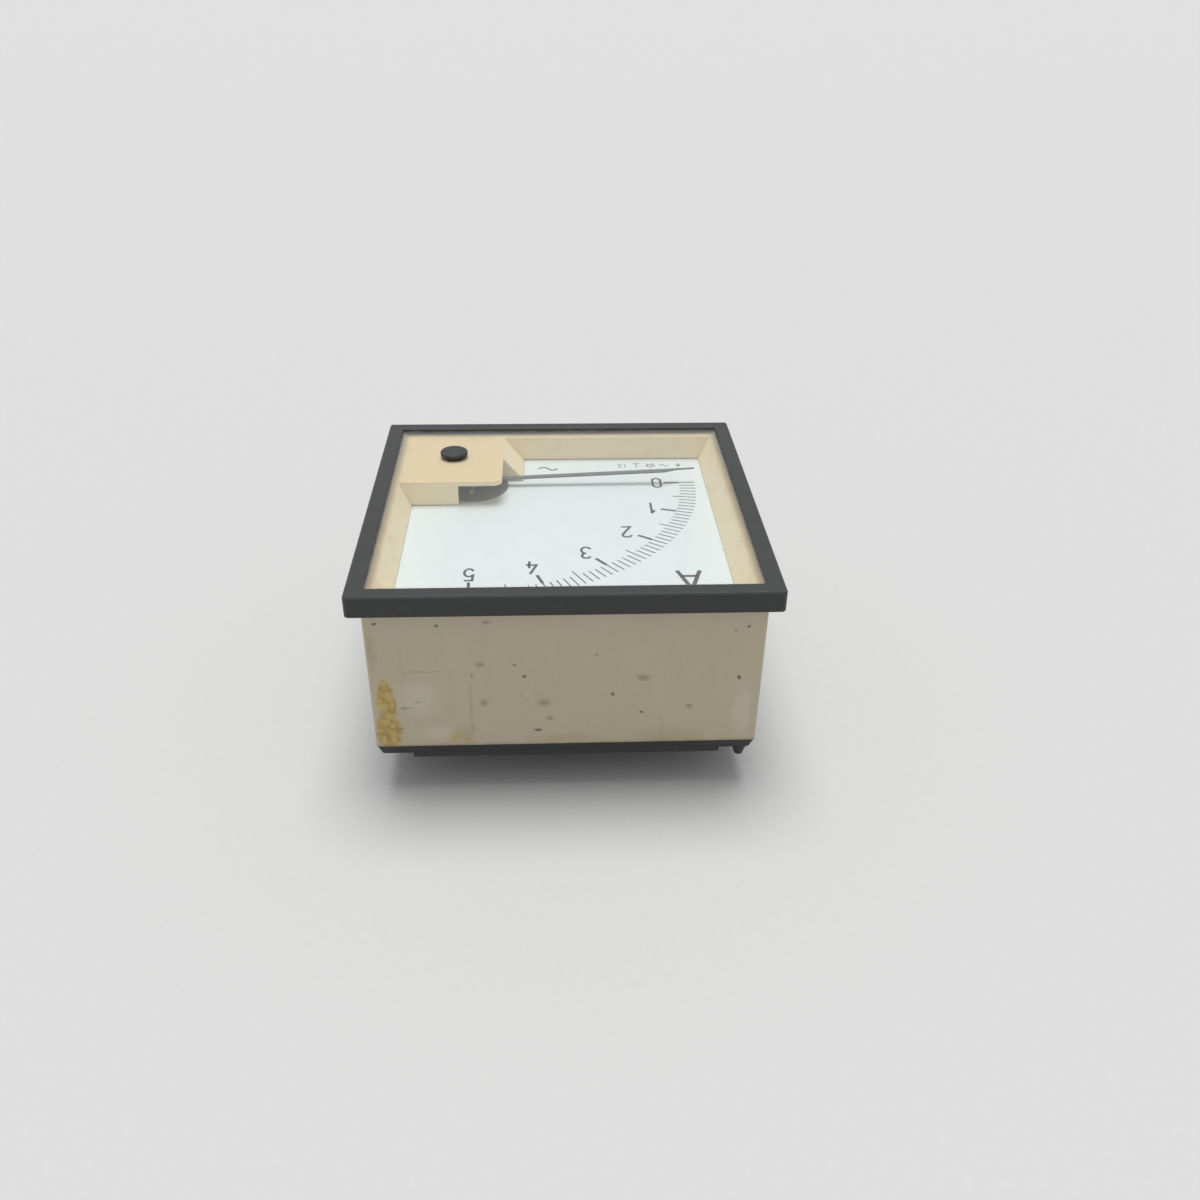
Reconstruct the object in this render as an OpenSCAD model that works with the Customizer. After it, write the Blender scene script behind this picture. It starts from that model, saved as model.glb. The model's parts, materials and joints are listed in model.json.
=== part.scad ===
// Square flush-mounting panel ammeter with a quadrant scale and a moving-iron movement.
// Millimetres. The dial faces +Z, the top of the scale is towards +Y, and the origin is on the
// plane of the stud tips, under the middle of the bezel.

/* [Bezel] */
// Side of the square bezel
bezel_size = 96; // [84:0.5:144]
// Depth of the bezel in front of the panel
bezel_depth = 5; // [4.6:0.1:8]
// Width of the rim seen round the window
bezel_rim = 4; // [3.6:0.1:5]
// How far the bezel stands out beyond the housing
bezel_overhang = 3; // [1.5:0.1:3.4]
// Thickness of the lip that holds the glass
bezel_lip = 0.6; // [0.4:0.1:1.4]
// Radius of the bezel's four corners
bezel_corner_r = 1.2; // [0.5:0.1:3]
// Chamfer round the bezel's front edge
bezel_chamfer = 0.4; // [0.2:0.1:0.8]

/* [Housing] */
// Length of the housing behind the panel
housing_depth = 37.6; // [34:0.2:60]
// Wall thickness of the housing
housing_wall = 1.8; // [1.2:0.1:2.4]
// Taper of each housing wall over its length
housing_draft = 0.3; // [0.1:0.1:0.8]
// Radius of the housing's four corners
housing_corner_r = 1; // [0.5:0.1:2]

/* [Window] */
// Thickness of the glass
glass_t = 0.9; // [0.7:0.1:1.4]
// Gap round the glass in the bezel
glass_gap = 0.15; // [0.05:0.05:0.4]
// Thickness of the seal behind the glass
seal_t = 0.4; // [0.2:0.1:0.8]
// Width of the seal that shows inside the bezel
seal_show = 0.1; // [0:0.05:0.4]

/* [Dial] */
// Depth of the dial below the bezel's front
dial_depth = 8.2; // [7.6:0.1:10]
// Thickness of the dial plate
dial_t = 0.8; // [0.5:0.1:1.5]
// Gap between the dial plate and the housing walls
dial_gap = 1.2; // [0.6:0.1:2]
// Width of the mask at the sides and the top
mask_run = 4.8; // [3:0.1:7]
// Width of the mask below the dial
mask_run_low = 3.2; // [2.6:0.1:7]
// Part of that width that slopes at the sides and the top
mask_slope = 2.9; // [0.1:0.1:2.9]
// Part of that width that slopes below the dial
mask_slope_low = 0.2; // [0.1:0.1:2.5]
// Distance of the pivot from the right and the bottom wall
pivot_inset = 18.9; // [17:0.1:24]

/* [Scale] */
// Angle of the zero mark
scale_zero_a = 181; // [178:0.5:184]
// Angle between the zero mark and the last mark
scale_sweep = 89.25; // [70:0.25:92]
// Whole units on the scale
scale_units = 5; // [1:1:10]
// Small divisions in one unit
scale_divisions = 10; // [2:2:20]
// Gap between the outer ends of the marks and the mask
scale_margin = 2.8; // [2:0.1:8]
// Length of a small mark
mark_len = 4.4; // [3:0.1:6]
// Width of a small mark
mark_w = 0.28; // [0.15:0.01:0.4]
// Width of the heavy foot of a whole-unit mark
mark_heavy_w = 0.75; // [0.4:0.05:1.2]
// Thickness of the print
ink_t = 0.05; // [0.03:0.01:0.1]

/* [Corner cover] */
// Left edge of the cover, left of the pivot
cover_left = 8.4; // [7.4:0.1:10]
// Front edge of the cover, above the pivot
cover_front = 11.7; // [10.6:0.1:14]
// Thickness of the cover
cover_t = 1.1; // [0.8:0.1:1.4]
// Radius of the cover's free corner
cover_corner_r = 2.5; // [1:0.1:4]
// Width of the cover's sloped side
cover_slope_w = 5.4; // [3:0.1:6]

/* [Pointer] */
// Angle between the zero mark and the resting pointer
rest_below_zero = 0; // [0:0.5:5]
// How far the pointer stops short of the outer ends of the marks
pointer_short = 0.1; // [0:0.1:5]
// Width of the pointer's bar
pointer_w = 1.7; // [1:0.1:2.4]
// Thickness of the pointer
pointer_t = 0.35; // [0.2:0.05:0.5]
// Length of the slim tip
pointer_tip = 4.8; // [3:0.1:10]
// Gap between the dial and the pointer at its hub
pointer_lift = 0.95; // [0.9:0.05:1.3]
// Height that the pointer gains in the bend beside its hub
pointer_bend = 1; // [0.1:0.1:1.2]
// Height that the pointer gains from the bend to its tip
pointer_rise = 1.8; // [0.1:0.1:2]

/* [Movement] */
// Radius of the spindle
spindle_r = 0.6; // [0.5:0.05:0.8]
// Outer radius of the movement boss inside the dial's hole
boss_r = 9.5; // [9.4:0.1:10.4]
// Radius of the damping chamber
chamber_r = 27.5; // [22:0.5:29]
// Depth of the damping chamber
chamber_h = 6.4; // [4:0.2:8]
// Inner radius of the coil bobbin's tube
bobbin_bore_r = 7.5; // [7:0.1:8]
// Wall thickness of the coil bobbin
bobbin_wall = 1.2; // [0.8:0.1:1.6]
// Diameter of the coil's wire
wire_d = 1.6; // [0.8:0.1:2]
// Turns of the hairspring
spring_turns = 3.5; // [2.5:0.5:5]

/* [Zero adjuster] */
// Distance of the button from the pivot
adjuster_r = 6.4; // [6:0.1:6.8]
// Diameter of the button
button_d = 7.3; // [6:0.1:8]
// Height of the button above the glass
button_h = 0.9; // [0.6:0.1:1.4]
// Throw of the eccentric pin
pin_throw = 1.1; // [0.6:0.1:1.2]

/* [Rear base] */
// Thickness of the base plate
base_t = 2.7; // [1.2:0.1:3]
// Width of the step beside the raised panel on the back
panel_inset = 8.45; // [7.5:0.05:14]
// Height of the raised panel
panel_raise = 1.2; // [0.8:0.1:3]
// Thickness of the feet, posts and bosses that carry the movement
post_d = 7; // [6:0.2:7.6]
// Height of the stand under the coil
coil_stand = 4.6; // [4.4:0.1:7]

/* [Studs] */
// Length of all studs behind the raised panel
stud_reach = 9.5; // [8.5:0.5:20]
// Diameter of the terminal studs
terminal_d = 6; // [4:0.5:6]
// Distance between the terminal studs
terminal_pitch = 40; // [36:0.5:44]
// Height of the terminal studs above the middle
terminal_y = 10; // [8:0.5:14]
// Diameter of the fixing studs
fixing_d = 4; // [3:0.5:5]
// Distance between the fixing studs
fixing_pitch = 60; // [56:0.5:62]
// Depth of the fixing studs below the middle
fixing_y = 14; // [12:0.5:16]

/* [Hidden] */
$fn = 64;
eps = 0.05;
touch = 0.2;           // how far pieces of one moulding run into each other
fit = 0.1;             // radial play of a shaft or a shank in its hole
play = 0.2;            // gap between pieces that must not touch
glass_clear = 0.1;     // gap between the glass and the mask

// Planes from the back to the front
z_panel = stud_reach;
z_plate = z_panel + panel_raise;
z_part = z_plate + base_t;
z_seat = z_part + housing_depth;
z_front = z_seat + bezel_depth;
z_glass = z_front - bezel_lip;
z_glass_back = z_glass - glass_t;
z_mask = z_glass_back - glass_clear;
z_cover_back = z_mask - cover_t;
z_dial = z_front - dial_depth;
z_dial_back = z_dial - dial_t;
z_mask_foot = z_dial + play;

// Housing and bezel
half_front = bezel_size / 2 - bezel_overhang;
half_rear = half_front - housing_draft;
inner_rear = half_rear - housing_wall;
inner_front = half_front - housing_wall;
window_half = bezel_size / 2 - bezel_rim;
pocket_half = half_front + glass_gap;
seal_half = window_half - seal_show;
mask_sheet = 1.4;
front_wall = 1.2;
catch_w = 10;
catch_h = 1;
catch_depth = 0.4;
catch_up = 1;
screw_inset = 4.2;
screw_at = half_rear - screw_inset;
base_screw_r = 1.1;
base_screw_head_r = 2.6;
base_screw_head_h = 1.6;
base_screw_proud = 0.4;
base_screw_len = 11;
peg_inset = 3.2;
peg_at = half_rear - peg_inset;
peg_h = 3.4;
peg_r = 2.2;
peg_tip_r = 1;
housing_boss_r = 3;
housing_boss_h = 14;
diagonals = [[1, 1], [-1, -1]];
other_diagonals = [[-1, 1], [1, -1]];

// Pivot, scale and corner cover
pivot_offset = inner_rear - pivot_inset;
pivot = [pivot_offset, -pivot_offset];
dial_view = window_half - mask_run;
dial_view_low = window_half - mask_run_low;
scale_r = pivot_offset + dial_view - scale_margin;
middle_mark_extra = 2;
heavy_mark_extra = 4;
cover_x = pivot.x - cover_left;
cover_y = pivot.y + cover_front;
cover_open = 3;        // the cover is open below, up to here right of and below the pivot
cover_wall_x = pivot.x + cover_open;
cover_side_y = pivot.y - cover_open;

// Movement
frame_t = 2.2;
z_frame_back = z_dial_back - frame_t;
boss_drop = 0.6;
z_boss = z_dial - boss_drop;
z_lid = z_frame_back - chamber_h;
lid_t = 1;
chamber_wall = 1.2;
chamber_margin = 8;
hub_clear_r = 4;
z_bobbin = z_part + coil_stand;
coil_gap = 0.6;
z_bobbin_top = z_lid - lid_t - coil_gap;
coil_wall_gap = 1.9;
bobbin_half = pivot_inset - coil_wall_gap;
winding_inset = 1.5;
winding_r = bobbin_half - winding_inset;
flange_proud = 0.8;
bobbin_r = bobbin_bore_r + bobbin_wall;
flange_t = 1.2;
web_t = 2;
frame_proud = 0.6;
frame_r = bobbin_half + frame_proud;
post_r = post_d / 2;
post_gap = 1;
post_far = bobbin_half + post_r + post_gap;
post_near = 0.8 * bobbin_half;
chamber_gap = 0.3;
post_diagonal = chamber_r + chamber_wall + post_r + chamber_gap;
posts = [
    pivot + [post_near, post_far],
    pivot - [post_far, post_near],
    pivot + post_diagonal * dir(135)
];
coil_screw_inset = 2.5;
coil_screws = [for (x = [-1, 1], y = [-1, 1]) pivot + (bobbin_half - coil_screw_inset) * [x, y]];
coil_boss_r = 3;
small_screw_r = 1.2;   // screws of the dial and the bobbin
coil_screw_head_r = 2.3;
coil_screw_head_h = 1.4;
coil_screw_spare = 0.4;
frame_screw_len = 11;
frame_screw_r = 1.3;
frame_screw_head_r = 2.8;
frame_screw_head_h = 1.5;
dial_screw_at = 12.5;
dial_screw_len = 3;
dial_screw_head_r = 1.9;
dial_screw_head_h = 0.9;
dial_screw_angles = [6, -96];
dial_support_inset = [10, 5.5];
dial_support_r = 2.5;

// Bearings, from the cover down to the hub
bridge_t = 0.8;
bridge_w = 4;
bridge_drop = 0.7;
z_bridge_top = z_cover_back - bridge_drop;
z_bridge = z_bridge_top - bridge_t;
bush_r = 1.5;
bush_h = 0.7;
jewel_r = 0.9;
jewel_cup_r = 0.5;
jewel_cup_h = 0.6;
jewel_len = 1.9;
jewel_proud = 0.15;
jewel_slot = [0.3, 0.4];
tip_gap = 0.15;
z_jewel = z_bridge_top - jewel_len + jewel_proud;
rear_jewel_proud = 0.4;
z_rear_jewel = z_bobbin + web_t + rear_jewel_proud;
rear_jewel_len = 3.6;
lever_t = 0.4;
z_lever = z_bridge - play - lever_t;
bridge_post_r = 1.3;
bridge_post_at = 8;
bridge_screw_r = 0.8;
bridge_screw_head_r = 1.4;
bridge_screw_head_h = 0.6;
bridge_screw_depth = 1.8;

// Pointer and hub
pointer_rest_a = scale_zero_a + rest_below_zero;
z_pointer = z_dial + pointer_lift;
z_pointer_top = z_pointer + pointer_t;
hub_r = 2.2;
hub_boss_r = 1;
hub_t = 0.65;
arm_r = 0.3;
arm_len = 6.2;
weight_r = 0.7;
weight_len = 1.4;
weight_at = 4.6;
collet_h = 0.7;
hub_proud = 0.35;
z_hub_top = z_pointer_top + hub_proud;
pointer_len = scale_r - pointer_short;
needle_w = 0.5;
needle_taper = 3.5;
bend_from = 5.4;       // the bend starts outside the zero lever's tail
bend_to = 8.4;

// Hairspring and zero lever
spring_t = 0.12;
spring_h = 0.5;
spring_in_r = 1.1;
spring_out_r = 4.2;
spring_up = 0.15;
z_spring = z_hub_top + spring_up;
tab_t = 0.4;
tab_w = 1.6;
lever_ring_t = 1.1;
fork_wall = 0.9;
fork_depth = 1.5;
pin_r = 0.6;
pin_play = 0.12;
adjuster_a = -41;
adjuster_at = pivot + adjuster_r * dir(adjuster_a);
pin_at = pivot + (adjuster_r + pin_throw) * dir(adjuster_a);
shank_r = 2.1;
clip_r = 3.2;
clip_t = 0.3;
shank_chamfer = 0.2;
pin_proud = 0.25;

// Irons and damping vane
fixed_iron_t = 0.45;
fixed_iron_cut = 0.4;     // where its slanted edge starts, as a share of its height
moving_iron_t = 0.4;
iron_gap = 1;
moving_iron_r = bobbin_bore_r - fixed_iron_t - iron_gap;
iron_inset = 2;
iron_collar_t = 0.5;
vane_t = 0.3;
vane_gap = 0.6;
vane_arm_h = 1.4;
vane_collar_t = 0.7;
vane_collar_h = 2;
hole_gap = 1;          // gap round the spindle in the frame and the chamber's cover

// Rear base
base_slope = 0.9;
base_corner_r = 1;
rim_h = 2;
rim_t = 1.4;

// Studs, nuts and washers
terminals = [for (x = [-1, 1]) [x * terminal_pitch / 2, terminal_y]];
fixings = [for (x = [-1, 1]) [x * fixing_pitch / 2, -fixing_y]];
thread_r = terminal_d / 2 * 0.944;
fixing_collar_r = fixing_d / 2 + 0.6;
terminal_boss_h = 3;
terminal_boss_t = 3;
tag_t = 0.8;
terminal_tag_len = terminal_d + 2;
nut_af = terminal_d * 1.67;
nut_h = terminal_d / 2;
washer_t = 0.5;
wide_washer_t = 1;
washer_r = nut_af / 2 + 1;
z_tag = z_part + terminal_boss_h;
z_inner_nut = z_tag + tag_t;
stud_proud = 0.8;
z_stud_top = z_inner_nut + nut_h + stud_proud;
z_lock_nut = z_panel - washer_t - nut_h;
z_wide_washer = z_lock_nut - wide_washer_t;
z_outer_nut = z_wide_washer - nut_h;
lead_r = wire_d / 2;
lead_off = 4;          // how far off the coil's middle lines the leads leave the winding
lead_out = sqrt(winding_r * winding_r - (lead_off - lead_r) * (lead_off - lead_r));

// ---------------------------------------------------------------- helpers

function dir(a) = [cos(a), sin(a)];

function square_box(h) = [-h, h, -h, h];

module at(p, z = 0) {
    translate([p.x, p.y, z]) children();
}

module rounded_square(half, r) {
    square([2 * half, 2 * (half - r)], center = true);
    square([2 * (half - r), 2 * half], center = true);
    for (x = [-1, 1], y = [-1, 1])
        translate((half - r) * [x, y]) circle(r, $fn = 32);
}

// Square frame of one section: the section's x is the distance from the middle, its y is Z
module square_sweep(section, half) {
    for (a = [0:90:270])
        rotate(a) intersection() {
            rotate([90, 0, 0]) linear_extrude(2 * half, center = true) polygon(section);
            linear_extrude(z_front + 1) polygon([[0, 0], [half, -half], [half, half]]);
        }
}

// Solid between two rectangles [x0, x1, y0, y1] on two levels
module frustum(low, high, z0, z1) {
    corners = [[0, 2], [1, 2], [1, 3], [0, 3]];
    polyhedron(
        points = [
            for (c = corners) [low[c[0]], low[c[1]], z0],
            for (c = corners) [high[c[0]], high[c[1]], z1]
        ],
        faces = [[0, 1, 2, 3], [4, 7, 6, 5], [0, 4, 5, 1], [1, 5, 6, 2], [2, 6, 7, 3], [3, 7, 4, 0]]
    );
}

module sector(r, a0, a1) {
    mid = (a0 + a1) / 2;
    intersection() {
        circle(r);
        polygon([[0, 0], 2 * r * dir(a0), 3 * r * dir(mid), 2 * r * dir(a1)]);
    }
}

module bar(p, q, w) {
    v = q - p;
    translate(p) rotate(atan2(v.y, v.x)) translate([0, -w / 2]) square([norm(v), w]);
    translate(p) circle(w / 2);
    translate(q) circle(w / 2);
}

module tube(r_out, r_in, h) {
    difference() {
        cylinder(h, r = r_out);
        translate([0, 0, -1]) cylinder(h + 2, r = r_in);
    }
}

module hex_nut(af, r_in, h) {
    difference() {
        cylinder(h, r = af / 2 / cos(30), $fn = 6);
        translate([0, 0, -1]) cylinder(h + 2, r = r_in);
    }
}

module flat_head_screw(head_r, head_h, r, len) {
    translate([0, 0, -head_h]) cylinder(head_h, r1 = r, r2 = head_r);
    translate([0, 0, -len]) cylinder(len - head_h + eps, r = r);
}

module pan_head_screw(head_r, head_h, r, len) {
    rotate_extrude() polygon([
        [0, -len], [r, -len], [r, 0], [head_r, 0], [head_r, head_h * 0.5],
        [head_r * 0.75, head_h], [0, head_h]
    ]);
}

// ---------------------------------------------------------------- bezel and window

module bezel() {
    half = bezel_size / 2;
    inner_chamfer = 0.2;
    section = [
        [pocket_half, z_seat],
        [half, z_seat],
        [half, z_front - bezel_chamfer],
        [half - bezel_chamfer, z_front],
        [window_half + inner_chamfer, z_front],
        [window_half, z_front - inner_chamfer],
        [window_half, z_glass],
        [pocket_half, z_glass]
    ];
    color([0.16, 0.16, 0.165]) difference() {
        intersection() {
            square_sweep(section, half);
            linear_extrude(z_front + 1) rounded_square(half, bezel_corner_r);
        }
        for (a = [0:90:270]) rotate(a) housing_catch(fit);
    }
}

module window_glass() {
    color([0.85, 0.92, 0.9, 0.3]) difference() {
        at([0, 0], z_glass_back) linear_extrude(glass_t) rounded_square(half_front, housing_corner_r);
        at(adjuster_at, z_glass_back - 1) cylinder(glass_t + 2, r = shank_r + fit);
    }
}

module window_seal() {
    color([0.1, 0.1, 0.1]) at([0, 0], z_glass_back - seal_t) linear_extrude(seal_t)
        difference() {
            rounded_square(half_front, housing_corner_r);
            rounded_square(seal_half, housing_corner_r / 2);
        }
}

// ---------------------------------------------------------------- housing

// Small wedge on the housing's side that snaps into the bezel
module housing_catch(grow = 0) {
    z0 = z_seat + catch_up;
    x0 = half_front - touch;
    x1 = half_front + catch_depth + grow;
    rotate([90, 0, 0]) linear_extrude(catch_w + 2 * grow, center = true) polygon([
        [x0, z0 - grow], [x1, z0 - grow], [x1, z0 + catch_h / 3], [x0, z0 + 1.3 * catch_h + 2 * grow]
    ]);
}

module housing_body(h, grow = 0) {
    low = half_rear + grow;
    high = half_front + grow;
    at([0, 0], z_part) linear_extrude(h, scale = high / low) rounded_square(low, housing_corner_r);
}

// The mask is flat next to the window and slopes down to the edge of the visible dial
module mask_funnel(grow, extra_top) {
    foot = dial_view + grow;
    foot_low = dial_view_low + grow;
    top = foot + mask_slope;
    top_low = foot_low + mask_slope_low;
    frustum([-foot, foot, -foot_low, foot], [-top, top, -top_low, top],
        z_mask_foot - extra_top, z_mask + extra_top);
}

// Room under the cover, inside its walls and the housing's
module cover_hollow() {
    far = inner_front;
    near = [cover_x + cover_t, cover_y - cover_t];
    translate([near.x, -far, z_mask_foot - 1])
        cube([far - near.x, near.y + far, z_cover_back - z_mask_foot + 1]);
}

module cover_top() {
    r = cover_corner_r;
    far = half_front + 1;
    at([0, 0], z_cover_back) linear_extrude(cover_t) {
        translate([cover_x + r, -far]) square([far - cover_x - r, far + cover_y]);
        translate([cover_x, -far]) square([far - cover_x, far + cover_y - r]);
        translate([cover_x + r, cover_y - r]) circle(r);
    }
}

// Section of the cover's sloped side, from the dial up to the top plate
module cover_slope(t) {
    polygon([
        [cover_x - cover_slope_w + t, z_mask_foot],
        [cover_x + cover_t, z_mask_foot],
        [cover_x + cover_t, z_mask - t],
        [cover_x + t / 2, z_mask - t]
    ]);
}

module corner_cover() {
    cover_top();
    translate([cover_wall_x, cover_y - cover_t, z_mask_foot])
        cube([half_front + 1 - cover_wall_x, cover_t, z_mask - z_mask_foot]);
    difference() {
        translate([0, cover_side_y, 0]) rotate([90, 0, 0])
            linear_extrude(half_front + cover_side_y) cover_slope(0);
        translate([0, cover_side_y - cover_t, -eps]) rotate([90, 0, 0])
            linear_extrude(half_front + cover_side_y - cover_t - housing_wall) cover_slope(cover_t);
    }
}

module housing() {
    cavity_top = z_mask - front_wall;
    color([0.86, 0.8, 0.66]) {
        difference() {
            union() {
                intersection() {
                    housing_body(z_mask - z_part);
                    union() {
                        difference() {
                            union() {
                                difference() {
                                    housing_body(z_mask - z_part);
                                    frustum(square_box(inner_rear), square_box(inner_front),
                                        z_part - eps, cavity_top);
                                }
                                mask_funnel(mask_sheet, 0);
                            }
                            mask_funnel(0, eps);
                            cover_hollow();
                        }
                        corner_cover();
                    }
                }
                for (s = diagonals) at(screw_at * s, z_part) cylinder(housing_boss_h, r = housing_boss_r);
                for (a = [0:90:270]) rotate(a) housing_catch();
            }
            for (s = diagonals) at(screw_at * s, z_part - 1)
                cylinder(housing_boss_h, r = base_screw_r);
            at([0, 0], z_glass_back - seal_t) linear_extrude(z_front - z_glass_back) difference() {
                square(2 * half_front + 2, center = true);
                rounded_square(seal_half, housing_corner_r / 2);
            }
            at(adjuster_at, z_cover_back - 1) cylinder(cover_t + 2, r = shank_r + fit);
        }
    }
}

// ---------------------------------------------------------------- rear base

module base_outside() {
    low = half_rear - base_slope;
    at([0, 0], z_plate) linear_extrude(base_t, scale = half_rear / low)
        rounded_square(low, base_corner_r);
    at([0, 0], z_panel) linear_extrude(panel_raise + touch)
        square([2 * (half_rear - panel_inset), 2 * low], center = true);
    for (s = other_diagonals) at(peg_at * s, z_plate - peg_h)
        cylinder(peg_h + touch, r1 = peg_tip_r, r2 = peg_r);
}

module base_inside() {
    rim_half = inner_rear - play;
    at([0, 0], z_part - touch) {
        linear_extrude(rim_h + touch) difference() {
            rounded_square(rim_half, rim_t / 2);
            rounded_square(rim_half - rim_t, rim_t / 2);
            for (s = diagonals) translate(screw_at * s) circle(housing_boss_r + play);
        }
        for (p = posts) at(p) cylinder(z_frame_back - z_part + touch, r = post_r);
        for (p = coil_screws) at(p) cylinder(coil_stand + touch, r = coil_boss_r);
        for (p = terminals) at(p) cylinder(terminal_boss_h + touch, r = terminal_d / 2 + terminal_boss_t);
        for (s = [[-1, 1], [1, 1], [-1, -1]]) at(dial_support(s))
            cylinder(z_dial_back - z_part + touch, r = dial_support_r);
    }
}

function dial_support(side) = [
    side.x * (inner_rear - dial_support_inset.x), side.y * (inner_rear - dial_support_inset.y)
];

module rear_base() {
    color([0.13, 0.125, 0.12]) difference() {
        union() {
            base_outside();
            base_inside();
        }
        for (p = posts) at(p, z_dial_back - frame_screw_len - play)
            cylinder(frame_screw_len, r = frame_screw_r);
        for (p = coil_screws) at(p, z_part + coil_screw_spare) cylinder(coil_stand, r = small_screw_r);
        for (p = terminals) at(p, z_panel - 1) cylinder(z_part + 10, r = terminal_d / 2);
        for (p = fixings) at(p, z_panel - 1) cylinder(z_part + 10, r = fixing_collar_r);
        for (s = diagonals) at(screw_at * s) {
            cylinder(z_part + rim_h, r = base_screw_r + play);
            cylinder(z_plate - base_screw_proud + base_screw_head_h, r = base_screw_head_r + play);
        }
    }
}

module base_screws() {
    z_head = z_plate - base_screw_proud + base_screw_head_h;
    color([0.55, 0.53, 0.48]) for (s = diagonals) at(screw_at * s, z_head) rotate([180, 0, 0])
        pan_head_screw(base_screw_head_r, base_screw_head_h, base_screw_r, base_screw_len);
}

// ---------------------------------------------------------------- dial

module dial_plate() {
    half = inner_front - dial_gap;
    color([0.92, 0.94, 0.94]) difference() {
        at([0, 0], z_dial_back) linear_extrude(dial_t) rounded_square(half, 1);
        at(pivot, z_dial_back - 1) cylinder(dial_t + 2, r = boss_r + play);
        for (a = dial_screw_angles) at(pivot + dial_screw_at * dir(a), z_dial_back - 1)
            cylinder(dial_t + 2, r = small_screw_r);
    }
}

module mark(r0, r1, w) {
    translate([r0, -w / 2, 0]) cube([r1 - r0, w, ink_t]);
}

module scale_marks() {
    count = scale_units * scale_divisions;
    color([0.12, 0.13, 0.14]) at(pivot, z_dial)
        for (i = [0:count]) rotate(scale_zero_a - i * scale_sweep / count) {
            whole = i % scale_divisions == 0;
            middle = i % (scale_divisions / 2) == 0;
            longer = middle ? middle_mark_extra : 0;
            mark(scale_r - mark_len - longer, scale_r, mark_w);
            if (whole) mark(scale_r - mark_len - heavy_mark_extra, scale_r - mark_len, mark_heavy_w);
        }
}

module dial_screws() {
    color([0.75, 0.73, 0.68]) for (a = dial_screw_angles)
        at(pivot + dial_screw_at * dir(a), z_dial)
            pan_head_screw(dial_screw_head_r, dial_screw_head_h, small_screw_r, dial_screw_len);
}

// ---------------------------------------------------------------- movement frame

vane_a = pointer_rest_a;
over_travel = 3;
chamber_a0 = scale_zero_a - scale_sweep - over_travel - chamber_margin;
chamber_a1 = vane_a + chamber_margin;
chamber_side_a = 3;

module chamber_outline() {
    sector(chamber_r + chamber_wall, chamber_a0 - chamber_side_a, chamber_a1 + chamber_side_a);
    circle(hub_clear_r + chamber_wall);
}

module frame_outline() {
    circle(frame_r);
    chamber_outline();
    for (p = posts) bar([0, 0], p - pivot, post_d);
}

module movement_frame() {
    color([0.3, 0.3, 0.31]) at(pivot) difference() {
        union() {
            translate([0, 0, z_frame_back]) linear_extrude(frame_t) frame_outline();
            translate([0, 0, z_dial_back - touch]) cylinder(z_boss - z_dial_back + touch, r = boss_r);
            translate([0, 0, z_lid]) linear_extrude(chamber_h + touch) chamber_outline();
        }
        translate([0, 0, z_lid - 1]) linear_extrude(chamber_h + 1) {
            sector(chamber_r, chamber_a0, chamber_a1);
            circle(hub_clear_r);
        }
        translate([0, 0, z_frame_back - 1]) cylinder(frame_t + 2, r = spindle_r + hole_gap);
        for (p = posts) at(p - pivot, z_dial_back) {
            translate([0, 0, -frame_t - 1]) cylinder(frame_t + 2, r = frame_screw_r + play);
            translate([0, 0, -frame_screw_head_h - fit])
                cylinder(frame_screw_head_h + fit + eps, r1 = frame_screw_r + play,
                    r2 = frame_screw_head_r + play);
        }
        for (a = dial_screw_angles) at(dial_screw_at * dir(a), z_dial - dial_screw_len)
            cylinder(dial_screw_len + 1, r = small_screw_r);
        for (s = [-1, 1]) at(s * bridge_post_at * dir(adjuster_a + 90), z_boss - bridge_screw_depth)
            cylinder(bridge_screw_depth + 1, r = bridge_screw_r);
    }
}

module frame_screws() {
    color([0.75, 0.73, 0.68]) for (p = posts) at(p, z_dial_back)
        flat_head_screw(frame_screw_head_r, frame_screw_head_h, frame_screw_r, frame_screw_len);
}

module damping_cover() {
    color([0.42, 0.4, 0.37]) at(pivot, z_lid - lid_t) linear_extrude(lid_t) difference() {
        chamber_outline();
        circle(spindle_r + hole_gap);
    }
}

// ---------------------------------------------------------------- bearings

module jewel_screw(len) {
    difference() {
        cylinder(len, r = jewel_r);
        translate([0, 0, -eps]) cylinder(jewel_cup_h + eps, r1 = jewel_cup_r, r2 = 0.05);
        translate([-jewel_r - 1, -jewel_slot.x / 2, len - jewel_slot.y])
            cube([2 * jewel_r + 2, jewel_slot.x, 1]);
    }
}

module front_bridge() {
    ends = [for (s = [-1, 1]) s * bridge_post_at * dir(adjuster_a + 90)];
    color([0.78, 0.66, 0.36]) at(pivot) difference() {
        union() {
            at([0, 0], z_bridge) linear_extrude(bridge_t) bar(ends[0], ends[1], bridge_w);
            for (p = ends) at(p, z_boss) cylinder(z_bridge - z_boss + touch, r = bridge_post_r);
            at([0, 0], z_bridge - bush_h) cylinder(bush_h + touch, r = bush_r);
        }
        at([0, 0], z_bridge - bush_h - 1) cylinder(bush_h + 5, r = jewel_r);
        for (p = ends) at(p) {
            translate([0, 0, z_boss - 1]) cylinder(z_front, r = bridge_screw_r);
            translate([0, 0, z_bridge_top - bridge_screw_head_h])
                cylinder(bridge_screw_head_h + eps, r1 = bridge_screw_r, r2 = bridge_screw_head_r + eps);
        }
    }
}

module bridge_screws() {
    color([0.7, 0.7, 0.7]) at(pivot) for (s = [-1, 1])
        at(s * bridge_post_at * dir(adjuster_a + 90), z_bridge_top)
            flat_head_screw(bridge_screw_head_r, bridge_screw_head_h, bridge_screw_r,
                z_bridge_top - z_boss + bridge_screw_depth);
}

module front_jewel_screw() {
    color([0.8, 0.68, 0.38]) at(pivot, z_jewel) jewel_screw(jewel_len);
}

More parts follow.
